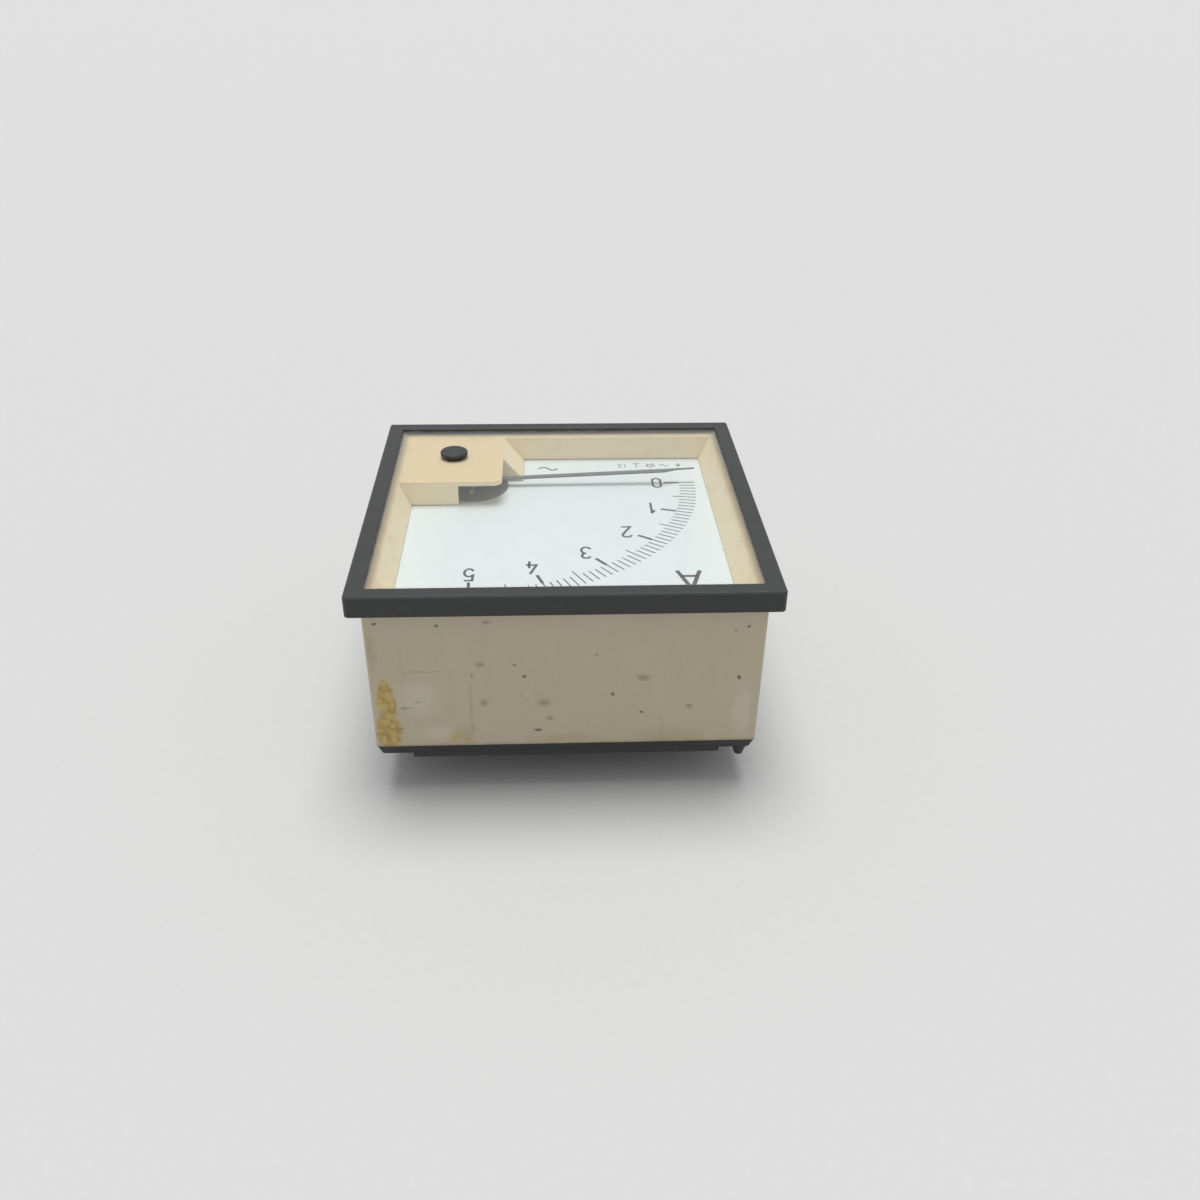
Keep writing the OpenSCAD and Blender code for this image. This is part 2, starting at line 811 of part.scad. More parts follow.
module rear_jewel_screw() {
    color([0.8, 0.68, 0.38]) at(pivot, z_rear_jewel) rotate([180, 0, 0]) jewel_screw(rear_jewel_len);
}

// ---------------------------------------------------------------- coil

module coil_bobbin() {
    color([0.2, 0.2, 0.21]) at(pivot, z_bobbin) difference() {
        union() {
            linear_extrude(flange_t) rounded_square(bobbin_half, 2);
            cylinder(z_bobbin_top - z_bobbin, r = bobbin_r);
            translate([0, 0, z_bobbin_top - z_bobbin - flange_t])
                cylinder(flange_t, r = winding_r + flange_proud);
        }
        translate([0, 0, web_t]) cylinder(z_bobbin_top, r = bobbin_bore_r);
        translate([0, 0, -1]) cylinder(web_t + 2, r = jewel_r);
        for (p = coil_screws) at(p - pivot, -1) cylinder(flange_t + 2, r = small_screw_r);
    }
}

module coil_winding() {
    height = z_bobbin_top - z_bobbin - 2 * flange_t;
    rows = floor(height / wire_d);
    pitch = height / rows;
    color([0.62, 0.33, 0.16]) at(pivot, z_bobbin + flange_t) rotate_extrude() {
        translate([bobbin_r, 0]) square([winding_r - bobbin_r - wire_d / 2, height]);
        for (i = [0:rows - 1]) translate([winding_r - wire_d / 2, (i + 0.5) * pitch])
            circle(wire_d / 2, $fn = 32);
    }
}

module bobbin_screws() {
    color([0.7, 0.7, 0.7]) for (p = coil_screws) at(p, z_bobbin + flange_t)
        pan_head_screw(coil_screw_head_r, coil_screw_head_h, small_screw_r,
            coil_stand + flange_t - coil_screw_spare);
}

// Point of a curve that leaves a, bends towards b and ends in c
function bend(a, b, c, t) = (1 - t) * (1 - t) * a + 2 * t * (1 - t) * b + t * t * c;

// Round wire along that curve
module bent_wire(a, b, c) {
    rings = 14;
    sides = 8;
    function ring(i) = let(
        t = i / rings,
        v = (1 - t) * (b - a) + t * (c - b),
        side = cross(v, [0, 0, 1]) / norm(cross(v, [0, 0, 1])),
        up = cross(side, v) / norm(v)
    ) [for (k = [0:sides - 1]) bend(a, b, c, t)
        + lead_r * (cos(360 * k / sides) * side + sin(360 * k / sides) * up)];
    last = rings * sides;
    polyhedron(
        points = [for (i = [0:rings]) each ring(i)],
        faces = [
            [for (k = [0:sides - 1]) k],
            [for (k = [sides - 1:-1:0]) last + k],
            for (i = [0:rings - 1], k = [0:sides - 1]) let(n = (k + 1) % sides)
                [i * sides + k, (i + 1) * sides + k, (i + 1) * sides + n, i * sides + n]
        ]
    );
}

module coil_leads() {
    tag_end = [0, -terminal_tag_len + 1, 0];
    z_end = z_tag + tag_t + lead_r;
    z_low = z_bobbin + flange_t + lead_r;
    z_high = z_bobbin_top - flange_t - lead_r;
    right = [terminals[1].x, terminals[1].y, z_end] + tag_end;
    left = [terminals[0].x, terminals[0].y, z_end] + tag_end;
    start_low = [pivot.x - lead_off, pivot.y + lead_out, z_low];
    start_high = [pivot.x - lead_out, pivot.y + lead_off, z_high];
    color([0.66, 0.36, 0.18]) {
        bent_wire(start_low, [start_low.x, (start_low.y + right.y) / 2, z_low], right);
        bent_wire(start_high, [left.x, start_high.y, z_high], left);
    }
}

module fixed_iron_vane() {
    z0 = z_bobbin + web_t + iron_inset;
    z1 = z_bobbin_top - iron_inset;
    cut = 2 * bobbin_bore_r;
    color([0.45, 0.46, 0.48]) at(pivot) difference() {
        translate([0, 0, z0]) rotate([0, 0, pointer_rest_a + 25]) rotate_extrude(angle = 100)
            translate([bobbin_bore_r - fixed_iron_t, 0]) square([fixed_iron_t, z1 - z0]);
        translate([0, 0, z0 + fixed_iron_cut * (z1 - z0)]) rotate(pointer_rest_a + 75)
            rotate([-24, 0, 0]) translate([0, -cut, 0]) cube([cut, 2 * cut, 2 * cut]);
    }
}

// ---------------------------------------------------------------- studs

// The thread is a plain cylinder: full diameter on the free end, pitch diameter inside the nuts
module terminal_studs() {
    chamfer = 0.5;
    r = terminal_d / 2;
    color([0.8, 0.66, 0.36]) for (p = terminals) at(p) rotate_extrude() polygon([
        [0, 0], [r - chamfer, 0], [r, chamfer], [r, z_outer_nut], [thread_r, z_outer_nut],
        [thread_r, z_stud_top - chamfer], [thread_r - chamfer, z_stud_top], [0, z_stud_top]
    ]);
}

module terminal_tags() {
    color([0.76, 0.7, 0.55]) for (p = terminals) at(p, z_tag) linear_extrude(tag_t) difference() {
        union() {
            circle(terminal_d / 2 + 2.4);
            bar([0, 0], [0, -terminal_tag_len], 4);
        }
        circle(terminal_d / 2);
    }
}

module terminal_nuts() {
    color([0.8, 0.66, 0.36]) for (p = terminals, z = [z_inner_nut, z_lock_nut, z_outer_nut])
        at(p, z) hex_nut(nut_af, thread_r, nut_h);
}

module terminal_washers() {
    color([0.8, 0.68, 0.4]) for (p = terminals) {
        at(p, z_panel - washer_t) tube(washer_r, terminal_d / 2 + fit, washer_t);
        at(p, z_wide_washer) tube(washer_r, terminal_d / 2 + fit, wide_washer_t);
    }
}

// Moulded into the base by a collar and a hexagon head
module fixing_studs() {
    chamfer = 0.4;
    r = fixing_d / 2;
    head_h = 2.4;
    color([0.72, 0.7, 0.64]) for (p = fixings) at(p) {
        rotate_extrude() polygon([
            [0, 0], [r - chamfer, 0], [r, chamfer], [r, z_panel],
            [fixing_collar_r, z_panel], [fixing_collar_r, z_part + touch], [0, z_part + touch]
        ]);
        translate([0, 0, z_part]) cylinder(head_h, r = r * 1.75 / cos(30), $fn = 6);
    }
}

// ---------------------------------------------------------------- moving system

module spindle() {
    tip_h = 0.7;
    tip_r = 0.08;
    z0 = z_rear_jewel - jewel_cup_h + tip_gap;
    z1 = z_jewel + jewel_cup_h - tip_gap;
    color([0.72, 0.73, 0.75]) at(pivot) rotate_extrude() polygon([
        [0, z0], [tip_r, z0], [0.3, z0 + tip_h], [spindle_r, z0 + tip_h + 0.1],
        [spindle_r, z1 - tip_h - 0.1], [0.3, z1 - tip_h], [tip_r, z1], [0, z1]
    ]);
}

module moving_iron_vane() {
    z0 = z_bobbin + web_t + iron_inset;
    h = z_bobbin_top - iron_inset - z0;
    r = moving_iron_r;
    color([0.5, 0.51, 0.53]) at(pivot, z0) rotate(pointer_rest_a + 40) {
        rotate_extrude(angle = 45) translate([r - moving_iron_t, 0]) square([moving_iron_t, h]);
        difference() {
            cube([r - moving_iron_t / 2, moving_iron_t, h]);
            translate([spindle_r + 2 * iron_collar_t, -1, 0.15 * h])
                cube([0.5 * (r - spindle_r), moving_iron_t + 2, 0.7 * h]);
            translate([0, 0, -1]) cylinder(h + 2, r = spindle_r);
        }
        tube(spindle_r + iron_collar_t, spindle_r, h);
    }
}

module damping_vane() {
    h = chamber_h - 2 * vane_gap;
    inner = chamber_r * 0.4;
    color([0.8, 0.81, 0.83]) at(pivot, z_lid + vane_gap) rotate(vane_a) {
        translate([inner, -vane_t / 2, 0]) cube([chamber_r - inner - vane_gap, vane_t, h]);
        difference() {
            translate([0, -vane_t / 2, h - vane_arm_h]) cube([inner + touch, vane_t, vane_arm_h]);
            translate([0, 0, -1]) cylinder(h + 2, r = spindle_r);
        }
        translate([0, 0, h - vane_collar_h]) tube(spindle_r + vane_collar_t, spindle_r, vane_collar_h);
    }
}

module pointer_hub() {
    z0 = z_pointer - hub_t;
    color([0.8, 0.68, 0.38]) at(pivot) rotate(pointer_rest_a) difference() {
        union() {
            translate([0, 0, z0]) cylinder(hub_t, r = hub_r);
            translate([0, 0, z0]) cylinder(z_hub_top - z0, r = hub_boss_r);
            for (a = [90, 180, 270]) rotate(a) translate([hub_r - touch, 0, z_pointer - hub_t / 2])
                rotate([0, 90, 0]) cylinder(arm_len - hub_r + touch, r = arm_r, $fn = 24);
        }
        translate([0, 0, z0 - 1]) cylinder(z_hub_top - z0 + 2, r = spindle_r);
    }
}

module balance_weights() {
    color([0.83, 0.72, 0.42]) at(pivot, z_pointer - hub_t / 2) rotate(pointer_rest_a)
        for (a = [90, 180, 270]) rotate(a) translate([weight_at - weight_len / 2, 0, 0])
            rotate([0, 90, 0]) tube(weight_r, arm_r, weight_len);
}

// Seen from its side, from below the hub to beyond the tip
module pointer_profile() {
    bent = pointer_bend;
    risen = pointer_bend + pointer_rise;
    polygon([
        [-hub_r, 0], [bend_from, 0], [bend_to, bent], [pointer_len, risen],
        [pointer_len, risen + pointer_t], [bend_to, bent + pointer_t], [bend_from, pointer_t],
        [-hub_r, pointer_t]
    ]);
}

module pointer_outline() {
    bar_end = pointer_len - pointer_tip;
    half = pointer_w / 2;
    circle(hub_r - touch);
    polygon([
        [0, -half], [bar_end - needle_taper, -half], [bar_end, half - needle_w],
        [pointer_len, half - needle_w / 2], [pointer_len, half], [0, half]
    ]);
}

module pointer() {
    room = pointer_bend + pointer_rise + pointer_t;
    color([0.25, 0.27, 0.28]) at(pivot, z_pointer) rotate(pointer_rest_a) difference() {
        intersection() {
            translate([0, 0, -eps]) linear_extrude(room + 2 * eps) pointer_outline();
            rotate([90, 0, 0]) linear_extrude(2 * hub_r, center = true) pointer_profile();
        }
        translate([0, 0, -1]) cylinder(pointer_t + 2, r = hub_boss_r);
    }
}

module spring_collet() {
    color([0.78, 0.66, 0.36]) at(pivot, z_hub_top) tube(spring_in_r, spindle_r, collet_h);
}

module hairspring() {
    steps = floor(spring_turns * 28);
    start = adjuster_a + 180 - 360 * spring_turns;
    rise = spring_out_r - spring_in_r - spring_t;
    function spot(i, side) = (spring_in_r + spring_t / 2 + rise * i / steps
        + side * spring_t / 2) * dir(start + 360 * spring_turns * i / steps);
    color([0.72, 0.5, 0.22]) at(pivot, z_spring) linear_extrude(spring_h) polygon([
        for (i = [0:steps]) spot(i, 1),
        for (i = [steps:-1:0]) spot(i, -1)
    ]);
}

// ---------------------------------------------------------------- zero adjustment

module zero_lever() {
    far = adjuster_r + pin_throw + pin_r + fork_wall;
    slot_w = 2 * (pin_r + pin_play);
    color([0.76, 0.64, 0.34]) at(pivot, z_lever) rotate(adjuster_a) {
        linear_extrude(lever_t) difference() {
            union() {
                circle(bush_r + lever_ring_t);
                translate([0, -slot_w / 2 - fork_wall]) square([far, slot_w + 2 * fork_wall]);
                translate([-spring_out_r - tab_t, -tab_w / 2]) square([spring_out_r + tab_t, tab_w]);
            }
            circle(bush_r + fit / 2);
            translate([adjuster_r - fork_depth, -slot_w / 2]) square([far, slot_w]);
        }
        translate([-spring_out_r - tab_t, -tab_w / 2, z_spring - z_lever])
            cube([tab_t, tab_w, z_lever - z_spring + lever_t]);
    }
}

module zero_adjuster() {
    dome = button_h / 4;
    r = button_d / 2;
    z_end = z_cover_back - clip_t - shank_chamfer;
    color([0.12, 0.12, 0.12]) {
        at(adjuster_at) rotate_extrude() polygon([
            [0, z_end], [shank_r - shank_chamfer, z_end],
            [shank_r, z_cover_back - clip_t], [shank_r, z_glass], [r, z_glass],
            [r, z_glass + button_h - dome], [r - dome, z_glass + button_h],
            [0, z_glass + button_h]
        ]);
        at(pin_at, z_lever - pin_proud) cylinder(z_end - z_lever + pin_proud + touch, r = pin_r, $fn = 32);
    }
}

module adjuster_clip() {
    color([0.6, 0.6, 0.6]) at(adjuster_at, z_cover_back - clip_t) tube(clip_r, shank_r, clip_t);
}

// ---------------------------------------------------------------- nodes

bezel();
window_glass();
window_seal();
housing();
rear_base();
base_screws();
dial_plate();
scale_marks();
dial_screws();
movement_frame();
frame_screws();
damping_cover();
front_bridge();
bridge_screws();
front_jewel_screw();
rear_jewel_screw();
coil_bobbin();
coil_winding();
bobbin_screws();
coil_leads();
fixed_iron_vane();
terminal_studs();
terminal_tags();
terminal_nuts();
terminal_washers();
fixing_studs();
spindle();
moving_iron_vane();
damping_vane();
pointer_hub();
balance_weights();
pointer();
spring_collet();
hairspring();
zero_lever();
zero_adjuster();
adjuster_clip();
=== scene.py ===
"""Looks of a square panel ammeter with a corner pivot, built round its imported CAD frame."""
import json
import math

import bmesh
import bpy
from mathutils import Matrix, Vector

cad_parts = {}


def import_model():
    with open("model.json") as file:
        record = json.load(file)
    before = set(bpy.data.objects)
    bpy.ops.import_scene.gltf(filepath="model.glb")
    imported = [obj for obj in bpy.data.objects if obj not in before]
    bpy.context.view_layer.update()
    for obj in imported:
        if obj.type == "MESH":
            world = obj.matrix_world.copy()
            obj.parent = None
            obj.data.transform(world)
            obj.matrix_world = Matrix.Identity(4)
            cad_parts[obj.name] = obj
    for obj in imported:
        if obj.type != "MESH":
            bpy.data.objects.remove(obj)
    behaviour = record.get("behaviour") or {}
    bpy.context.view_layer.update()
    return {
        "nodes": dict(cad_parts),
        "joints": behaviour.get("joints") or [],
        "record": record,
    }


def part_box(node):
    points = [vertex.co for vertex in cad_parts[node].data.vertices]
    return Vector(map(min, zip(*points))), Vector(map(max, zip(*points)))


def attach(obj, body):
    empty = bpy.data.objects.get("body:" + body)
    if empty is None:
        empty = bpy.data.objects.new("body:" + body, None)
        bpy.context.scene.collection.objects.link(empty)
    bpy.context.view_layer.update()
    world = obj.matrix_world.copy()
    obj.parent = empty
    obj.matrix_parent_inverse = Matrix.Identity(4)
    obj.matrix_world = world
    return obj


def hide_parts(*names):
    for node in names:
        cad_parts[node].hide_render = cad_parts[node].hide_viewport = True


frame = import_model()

MM = 0.001

# ---------------------------------------------------------------- sizes, from the frame

BEZEL_LOW, BEZEL_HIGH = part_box("bezel")
MARKS_LOW, MARKS_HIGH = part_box("scale_marks")
DIAL_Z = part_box("dial_plate")[1].z
INK = MARKS_HIGH.z - DIAL_Z              # height of the print over the dial
BASE_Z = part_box("housing")[0].z          # where the housing stands on the rear base
PANEL_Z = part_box("terminal_washers")[1].z    # back of the base's raised panel, under the washers
SEAT_Z = BEZEL_LOW.z                     # underside of the bezel
BEZEL_RIM = 4 * MM
WINDOW = BEZEL_HIGH.x - BEZEL_RIM        # half width of the opening in the bezel
OUTSIDE = WINDOW / MM + 0.4              # the housing's outside starts here, millimetres off the middle
PIVOT = Vector(next(j["pos_m"] for j in frame["joints"] if j["name"] == "pointer_swing"))
SCALE_R = PIVOT.x - MARKS_LOW.x          # outer radius of the marks
SCALE_ZERO = 181                         # angle of the zero mark, degrees
SCALE_SWEEP = 89.25                      # from the zero mark to the last one, degrees
SCALE_UNITS = 5
FOOT_R = SCALE_R - 8.4 * MM              # inner end of the whole-unit marks


def direction(angle):
    """Unit vector on the dial at this angle in degrees."""
    a = math.radians(angle)
    return Vector((math.cos(a), math.sin(a), 0))


# ---------------------------------------------------------------- node helpers

def new_material(name):
    mat = bpy.data.materials.new(name)
    mat.use_nodes = True
    mat.node_tree.nodes.clear()
    return mat


def add(mat, kind, inputs=None, **settings):
    """A node of this kind. inputs maps socket names or numbers to values or to other nodes' sockets."""
    n = mat.node_tree.nodes.new(kind)
    for name, value in settings.items():
        setattr(n, name, value)
    for key, value in (inputs or {}).items():
        if isinstance(value, bpy.types.NodeSocket):
            mat.node_tree.links.new(value, n.inputs[key])
        else:
            n.inputs[key].default_value = value
    return n


def place(mat, stretch=(1, 1, 1)):
    """The part's own coordinates in millimetres, stretched along each axis."""
    coords = add(mat, "ShaderNodeTexCoord").outputs["Object"]
    scale = [s / MM for s in stretch]
    return add(mat, "ShaderNodeVectorMath", {0: coords, 1: scale}, operation="MULTIPLY").outputs[0]


def noise(mat, size, detail=3.0, rough=0.5, stretch=(1, 1, 1), where=None):
    """Smooth noise from 0 to 1 whose blotches are about this many millimetres wide."""
    vector = where or place(mat, stretch)
    return add(mat, "ShaderNodeTexNoise", {"Vector": vector, "Scale": 1 / size, "Detail": detail,
                                           "Roughness": rough}).outputs["Fac"]


def between(mat, value, low, high, to_low=0.0, to_high=1.0):
    """value carried from the range low to high onto to_low to to_high, with soft ends."""
    n = add(mat, "ShaderNodeMapRange", {"Value": value, "From Min": low, "From Max": high,
                                        "To Min": to_low, "To Max": to_high})
    n.interpolation_type = "SMOOTHSTEP"
    return n.outputs["Result"]


def calc(mat, operation, a, b=0.0, c=0.0):
    return add(mat, "ShaderNodeMath", {0: a, 1: b, 2: c}, operation=operation).outputs[0]


def times(mat, *values):
    """The product of the values."""
    result = values[0]
    for v in values[1:]:
        result = calc(mat, "MULTIPLY", result, v)
    return result


def tint(mat, amount, under, over):
    """Colour that goes from under to over as amount goes from 0 to 1."""
    rgba = [tuple(c) + (1.0,) if isinstance(c, tuple) and len(c) == 3 else c for c in (under, over)]
    n = add(mat, "ShaderNodeMix", {0: amount, 6: rgba[0], 7: rgba[1]}, data_type="RGBA")
    return n.outputs[2]


def coat(mat, colour, mask, strength, over):
    """colour with this share of over laid on it where mask is 1, and none where it is 0."""
    return tint(mat, times(mat, mask, strength), colour, over)


def off_centre(mat, x, y):
    """Distance from the meter's middle line to the sides of a square, in millimetres."""
    return calc(mat, "MAXIMUM", calc(mat, "ABSOLUTE", x), calc(mat, "ABSOLUTE", y))


def axes(mat, vector):
    n = add(mat, "ShaderNodeSeparateXYZ", {0: vector})
    return n.outputs[0], n.outputs[1], n.outputs[2]


def specks(mat, cell, radius, rare):
    """Small round specks: radius in millimetres, at most one to a cell, kept only where noise is high."""
    cells = add(mat, "ShaderNodeTexVoronoi", {"Vector": place(mat), "Scale": 1 / cell})
    inside = between(mat, cells.outputs["Distance"], radius / cell, 0.4 * radius / cell)
    pick = add(mat, "ShaderNodeSeparateColor", {0: cells.outputs["Color"]}).outputs[0]
    return times(mat, inside, between(mat, pick, rare, min(rare + 0.05, 1.0)))


def bumps(mat, height, depth, strength=1.0, under=None):
    """Normal for a height map from 0 to 1 that stands for this many millimetres."""
    inputs = {"Height": height, "Distance": depth * MM, "Strength": strength}
    if under:
        inputs["Normal"] = under
    return add(mat, "ShaderNodeBump", inputs).outputs[0]


def soft_edge(mat, radius):
    """Normal that rounds the sharp edges of a solid by this many millimetres."""
    return add(mat, "ShaderNodeBevel", {"Radius": radius * MM}, samples=6).outputs[0]


def edge_wear(mat, radius):
    """1 along the sharp edges of a solid and 0 on its faces."""
    rounded = soft_edge(mat, radius)
    flat = add(mat, "ShaderNodeNewGeometry").outputs["Normal"]
    dot = add(mat, "ShaderNodeVectorMath", {0: rounded, 1: flat}, operation="DOT_PRODUCT").outputs["Value"]
    return between(mat, dot, 0.995, 0.85)


def surface(mat, **inputs):
    """Ends the material in a Principled shader."""
    shader = add(mat, "ShaderNodeBsdfPrincipled", {k.replace("_", " "): v for k, v in inputs.items()})
    out = add(mat, "ShaderNodeOutputMaterial")
    mat.node_tree.links.new(shader.outputs[0], out.inputs[0])
    return mat


# ---------------------------------------------------------------- plastics

# Stains of the top wall, each as x, z, half width and half height in millimetres
PALE_PATCHES = (34, 27, 6, 6.5), (-41, 22, 3, 9.5), (30, 17, 5, 3)
BROWN_PATCHES = (43.6, 40, 1.6, 9), (23.5, 17, 3, 4), (1, 15, 12, 2), (-24, 15, 12, 3.5)
GLUE = (41.4, 25.5, 2.4, 8.2), (41.2, 17.8, 3.5, 6.5)
FAINT_GLUE = (26, 15.8, 2.2, 2.8), (23.2, 14.8, 1.4, 1.8)
CRACKS = (22, 24, 0.55, 10.5), (21.8, 18.6, 0.7, 2.6), (33, 34.5, 11, 0.35)
SCRATCHES = (37, 24.5, 2.1, 0.4), (34, 26.1, 1.3, 0.35), (38.6, 18.5, 1.2, 0.4)
SMUDGES = ((-17.4, 32, 2.4, 1.5), (19.5, 36.2, 1.6, 1.0), (19, 25.5, 1.5, 1.4), (17.6, 47.4, 1.7, 0.9),
           (5.2, 25.4, 2.3, 1.5), (4, 20.8, 1.2, 1.1), (-28.3, 23.6, 1.4, 1.0), (-6.6, 38.4, 0.9, 0.9),
           (21.5, 33.4, 0.7, 1.2))
DOTS = ((-10.5, 27.7, 0.6, 0.75), (42, 47.4, 0.6, 0.5), (11.8, 36, 0.45, 0.45), (9.8, 32.7, 0.6, 0.6),
        (28.7, 46.7, 0.6, 0.6), (-39.5, 31.6, 0.6, 0.9), (-40.6, 45.5, 0.6, 0.7), (-17.2, 22.3, 0.6, 0.6),
        (6.7, 17.5, 1.3, 0.5))


def face_stain(mat, where, x, z, wide, high, soft=0.5):
    """1 inside an ellipse on the housing's top wall, fading to 0 at its edge. Sizes in millimetres."""
    offset = add(mat, "ShaderNodeVectorMath", {0: where, 1: (x, 0, z)}, operation="SUBTRACT").outputs[0]
    scaled = add(mat, "ShaderNodeVectorMath", {0: offset, 1: (1 / wide, 0, 1 / high)},
                 operation="MULTIPLY").outputs[0]
    length = add(mat, "ShaderNodeVectorMath", {0: scaled}, operation="LENGTH").outputs["Value"]
    return between(mat, length, 1.0, 1.0 - soft)


def wandering(mat, size, reach):
    """The part's coordinates, shifted by noise so that stains get uneven edges."""
    where = place(mat)
    drift = add(mat, "ShaderNodeTexNoise", {"Vector": where, "Scale": 1 / size, "Detail": 3.0})
    shift = add(mat, "ShaderNodeVectorMath", {0: drift.outputs["Color"], 1: (-0.5, -0.5, -0.5)},
                operation="ADD").outputs[0]
    return add(mat, "ShaderNodeVectorMath", {0: shift, 1: (reach, reach, reach), 2: where},
               operation="MULTIPLY_ADD").outputs[0]


def mask_colour(mat, off_middle):
    """Ivory behind the glass, painted brighter than the same plastic outside (painted light), with painted
    light on the upright walls and painted shade of the bezel's lip, with some grime, along the window's
    edge.
    """
    # Painted light: this base is brighter than the same plastic outside, to make up for light lost in the
    # glass and thrown back by the dial.
    colour = tint(mat, noise(mat, 22, 2.0), (0.80, 0.640, 0.375), (0.755, 0.595, 0.335))
    colour = coat(mat, colour, noise(mat, 1.8, 4.0), 0.18, (0.66, 0.54, 0.32))
    # Painted light: the upright walls inside the window are painted paler, for the light that the white dial
    # throws back onto them.
    normal = add(mat, "ShaderNodeNewGeometry").outputs["Normal"]
    upright_painted_light = between(mat, calc(mat, "ABSOLUTE", axes(mat, normal)[2]), 0.95, 0.7)
    colour = coat(mat, colour, upright_painted_light, 0.85, (0.93, 0.80, 0.55))
    # Painted shade of the bezel's lip, with some grime: the ivory darkens towards the window's edge.
    reach = calc(mat, "MULTIPLY_ADD", noise(mat, 5, 3.0), 1.6, WINDOW / MM - 3.4)
    lip_shade_and_grime = between(mat, calc(mat, "SUBTRACT", off_middle, reach), 0.0, 2.9)
    colour = coat(mat, colour, lip_shade_and_grime, 0.72, (0.26, 0.215, 0.13))
    blots = times(mat, between(mat, noise(mat, 4.5, 3.0), 0.5, 0.75),
                  between(mat, off_middle, WINDOW / MM - 6, WINDOW / MM - 1.5))
    colour = coat(mat, colour, blots, 0.35, (0.52, 0.40, 0.20))
    return coat(mat, colour, specks(mat, 6.0, 0.22, 0.7), 0.4, (0.25, 0.2, 0.12))


def stained(mat, colour, on_top):
    """colour with the stains, glue, scratches and spots of the meter's top wall, where on_top is 1."""
    wide, narrow = wandering(mat, 3.5, 3.0), wandering(mat, 1.2, 1.3)

    def stains(where, soft, spots):
        """The strongest of several stains."""
        found = 0.0
        for spot in spots:
            found = calc(mat, "MAXIMUM", found, face_stain(mat, where, *spot, soft=soft))
        return times(mat, found, on_top)

    colour = coat(mat, colour, stains(wide, 0.6, PALE_PATCHES), 0.45, (0.66, 0.60, 0.49))
    colour = coat(mat, colour, stains(wide, 0.9, BROWN_PATCHES), 0.35, (0.40, 0.31, 0.15))
    thick = between(mat, noise(mat, 1.3, 3.0), 0.35, 0.7)
    ochre = tint(mat, thick, (0.40, 0.26, 0.06), (0.60, 0.43, 0.13))
    colour = coat(mat, colour, stains(wandering(mat, 2.2, 2.6), 0.35, GLUE), 0.9, ochre)
    colour = coat(mat, colour, stains(narrow, 0.8, FAINT_GLUE), 0.6, (0.52, 0.38, 0.13))
    colour = coat(mat, colour, stains(narrow, 0.8, CRACKS), 0.38, (0.33, 0.27, 0.16))
    colour = coat(mat, colour, stains(narrow, 0.6, SCRATCHES), 0.6, (0.27, 0.24, 0.18))
    colour = coat(mat, colour, stains(narrow, 0.9, SMUDGES), 0.62, (0.24, 0.205, 0.125))
    scattered = times(mat, specks(mat, 7.0, 0.5, 0.45), noise(mat, 9, 2.0))
    dots = calc(mat, "MAXIMUM", stains(narrow, 0.6, DOTS), scattered)
    return coat(mat, colour, dots, 0.85, (0.10, 0.088, 0.06))


def wall_colour(mat, z, y):
    """Ivory outside: painted darker than the same plastic behind the glass, partly painted shade and partly
    grime from handling, marked on the top wall, and dirty at its edges and joints.
    """
    # Painted shade, partly grime: this base is darker than the same plastic behind the glass.
    colour = tint(mat, noise(mat, 19, 2.0), (0.590, 0.512, 0.372), (0.530, 0.462, 0.330))
    patches = between(mat, noise(mat, 7, 3.0), 0.42, 0.68)
    colour = coat(mat, colour, patches, 0.5, (0.545, 0.50, 0.345))
    colour = coat(mat, colour, noise(mat, 1.4, 4.0), 0.30, (0.47, 0.41, 0.29))
    streaks = between(mat, noise(mat, 2.4, 3.0, 0.6, (1, 1, 0.14)), 0.52, 0.8)
    colour = coat(mat, colour, streaks, 0.22, (0.42, 0.36, 0.25))
    colour = stained(mat, colour, calc(mat, "GREATER_THAN", y, OUTSIDE))
    low = between(mat, z, BASE_Z / MM + 1.2, BASE_Z / MM)
    high = between(mat, z, SEAT_Z / MM - 1.0, SEAT_Z / MM)
    joints = times(mat, calc(mat, "MAXIMUM", low, high), noise(mat, 2.5, 3.0))
    colour = coat(mat, colour, joints, 0.6, (0.28, 0.22, 0.13))
    edges = times(mat, edge_wear(mat, 0.8), between(mat, noise(mat, 3, 3.0), 0.3, 0.6))
    return coat(mat, colour, edges, 0.6, (0.27, 0.21, 0.12))


def ivory_plastic():
    """Aged ivory moulding, painted brighter behind the glass and darker outside (partly painted light and
    shade, partly grime), and marked by use outside.
    """
    mat = new_material("ivory_plastic")
    x, y, z = axes(mat, place(mat))
    off_middle = off_centre(mat, x, y)
    outside = calc(mat, "GREATER_THAN", off_middle, OUTSIDE)
    # The two ivories differ partly by painted light and shade, and partly by grime.
    colour = tint(mat, outside, mask_colour(mat, off_middle), wall_colour(mat, z, y))
    normal = bumps(mat, noise(mat, 0.45, 3.0), 0.012, 0.6, soft_edge(mat, 0.3))
    normal = bumps(mat, noise(mat, 9, 1.0), 0.08, 0.5, normal)
    rough = calc(mat, "MULTIPLY_ADD", noise(mat, 5, 4.0), 0.16, 0.40)
    return surface(mat, Base_Color=colour, Roughness=rough, Normal=normal)


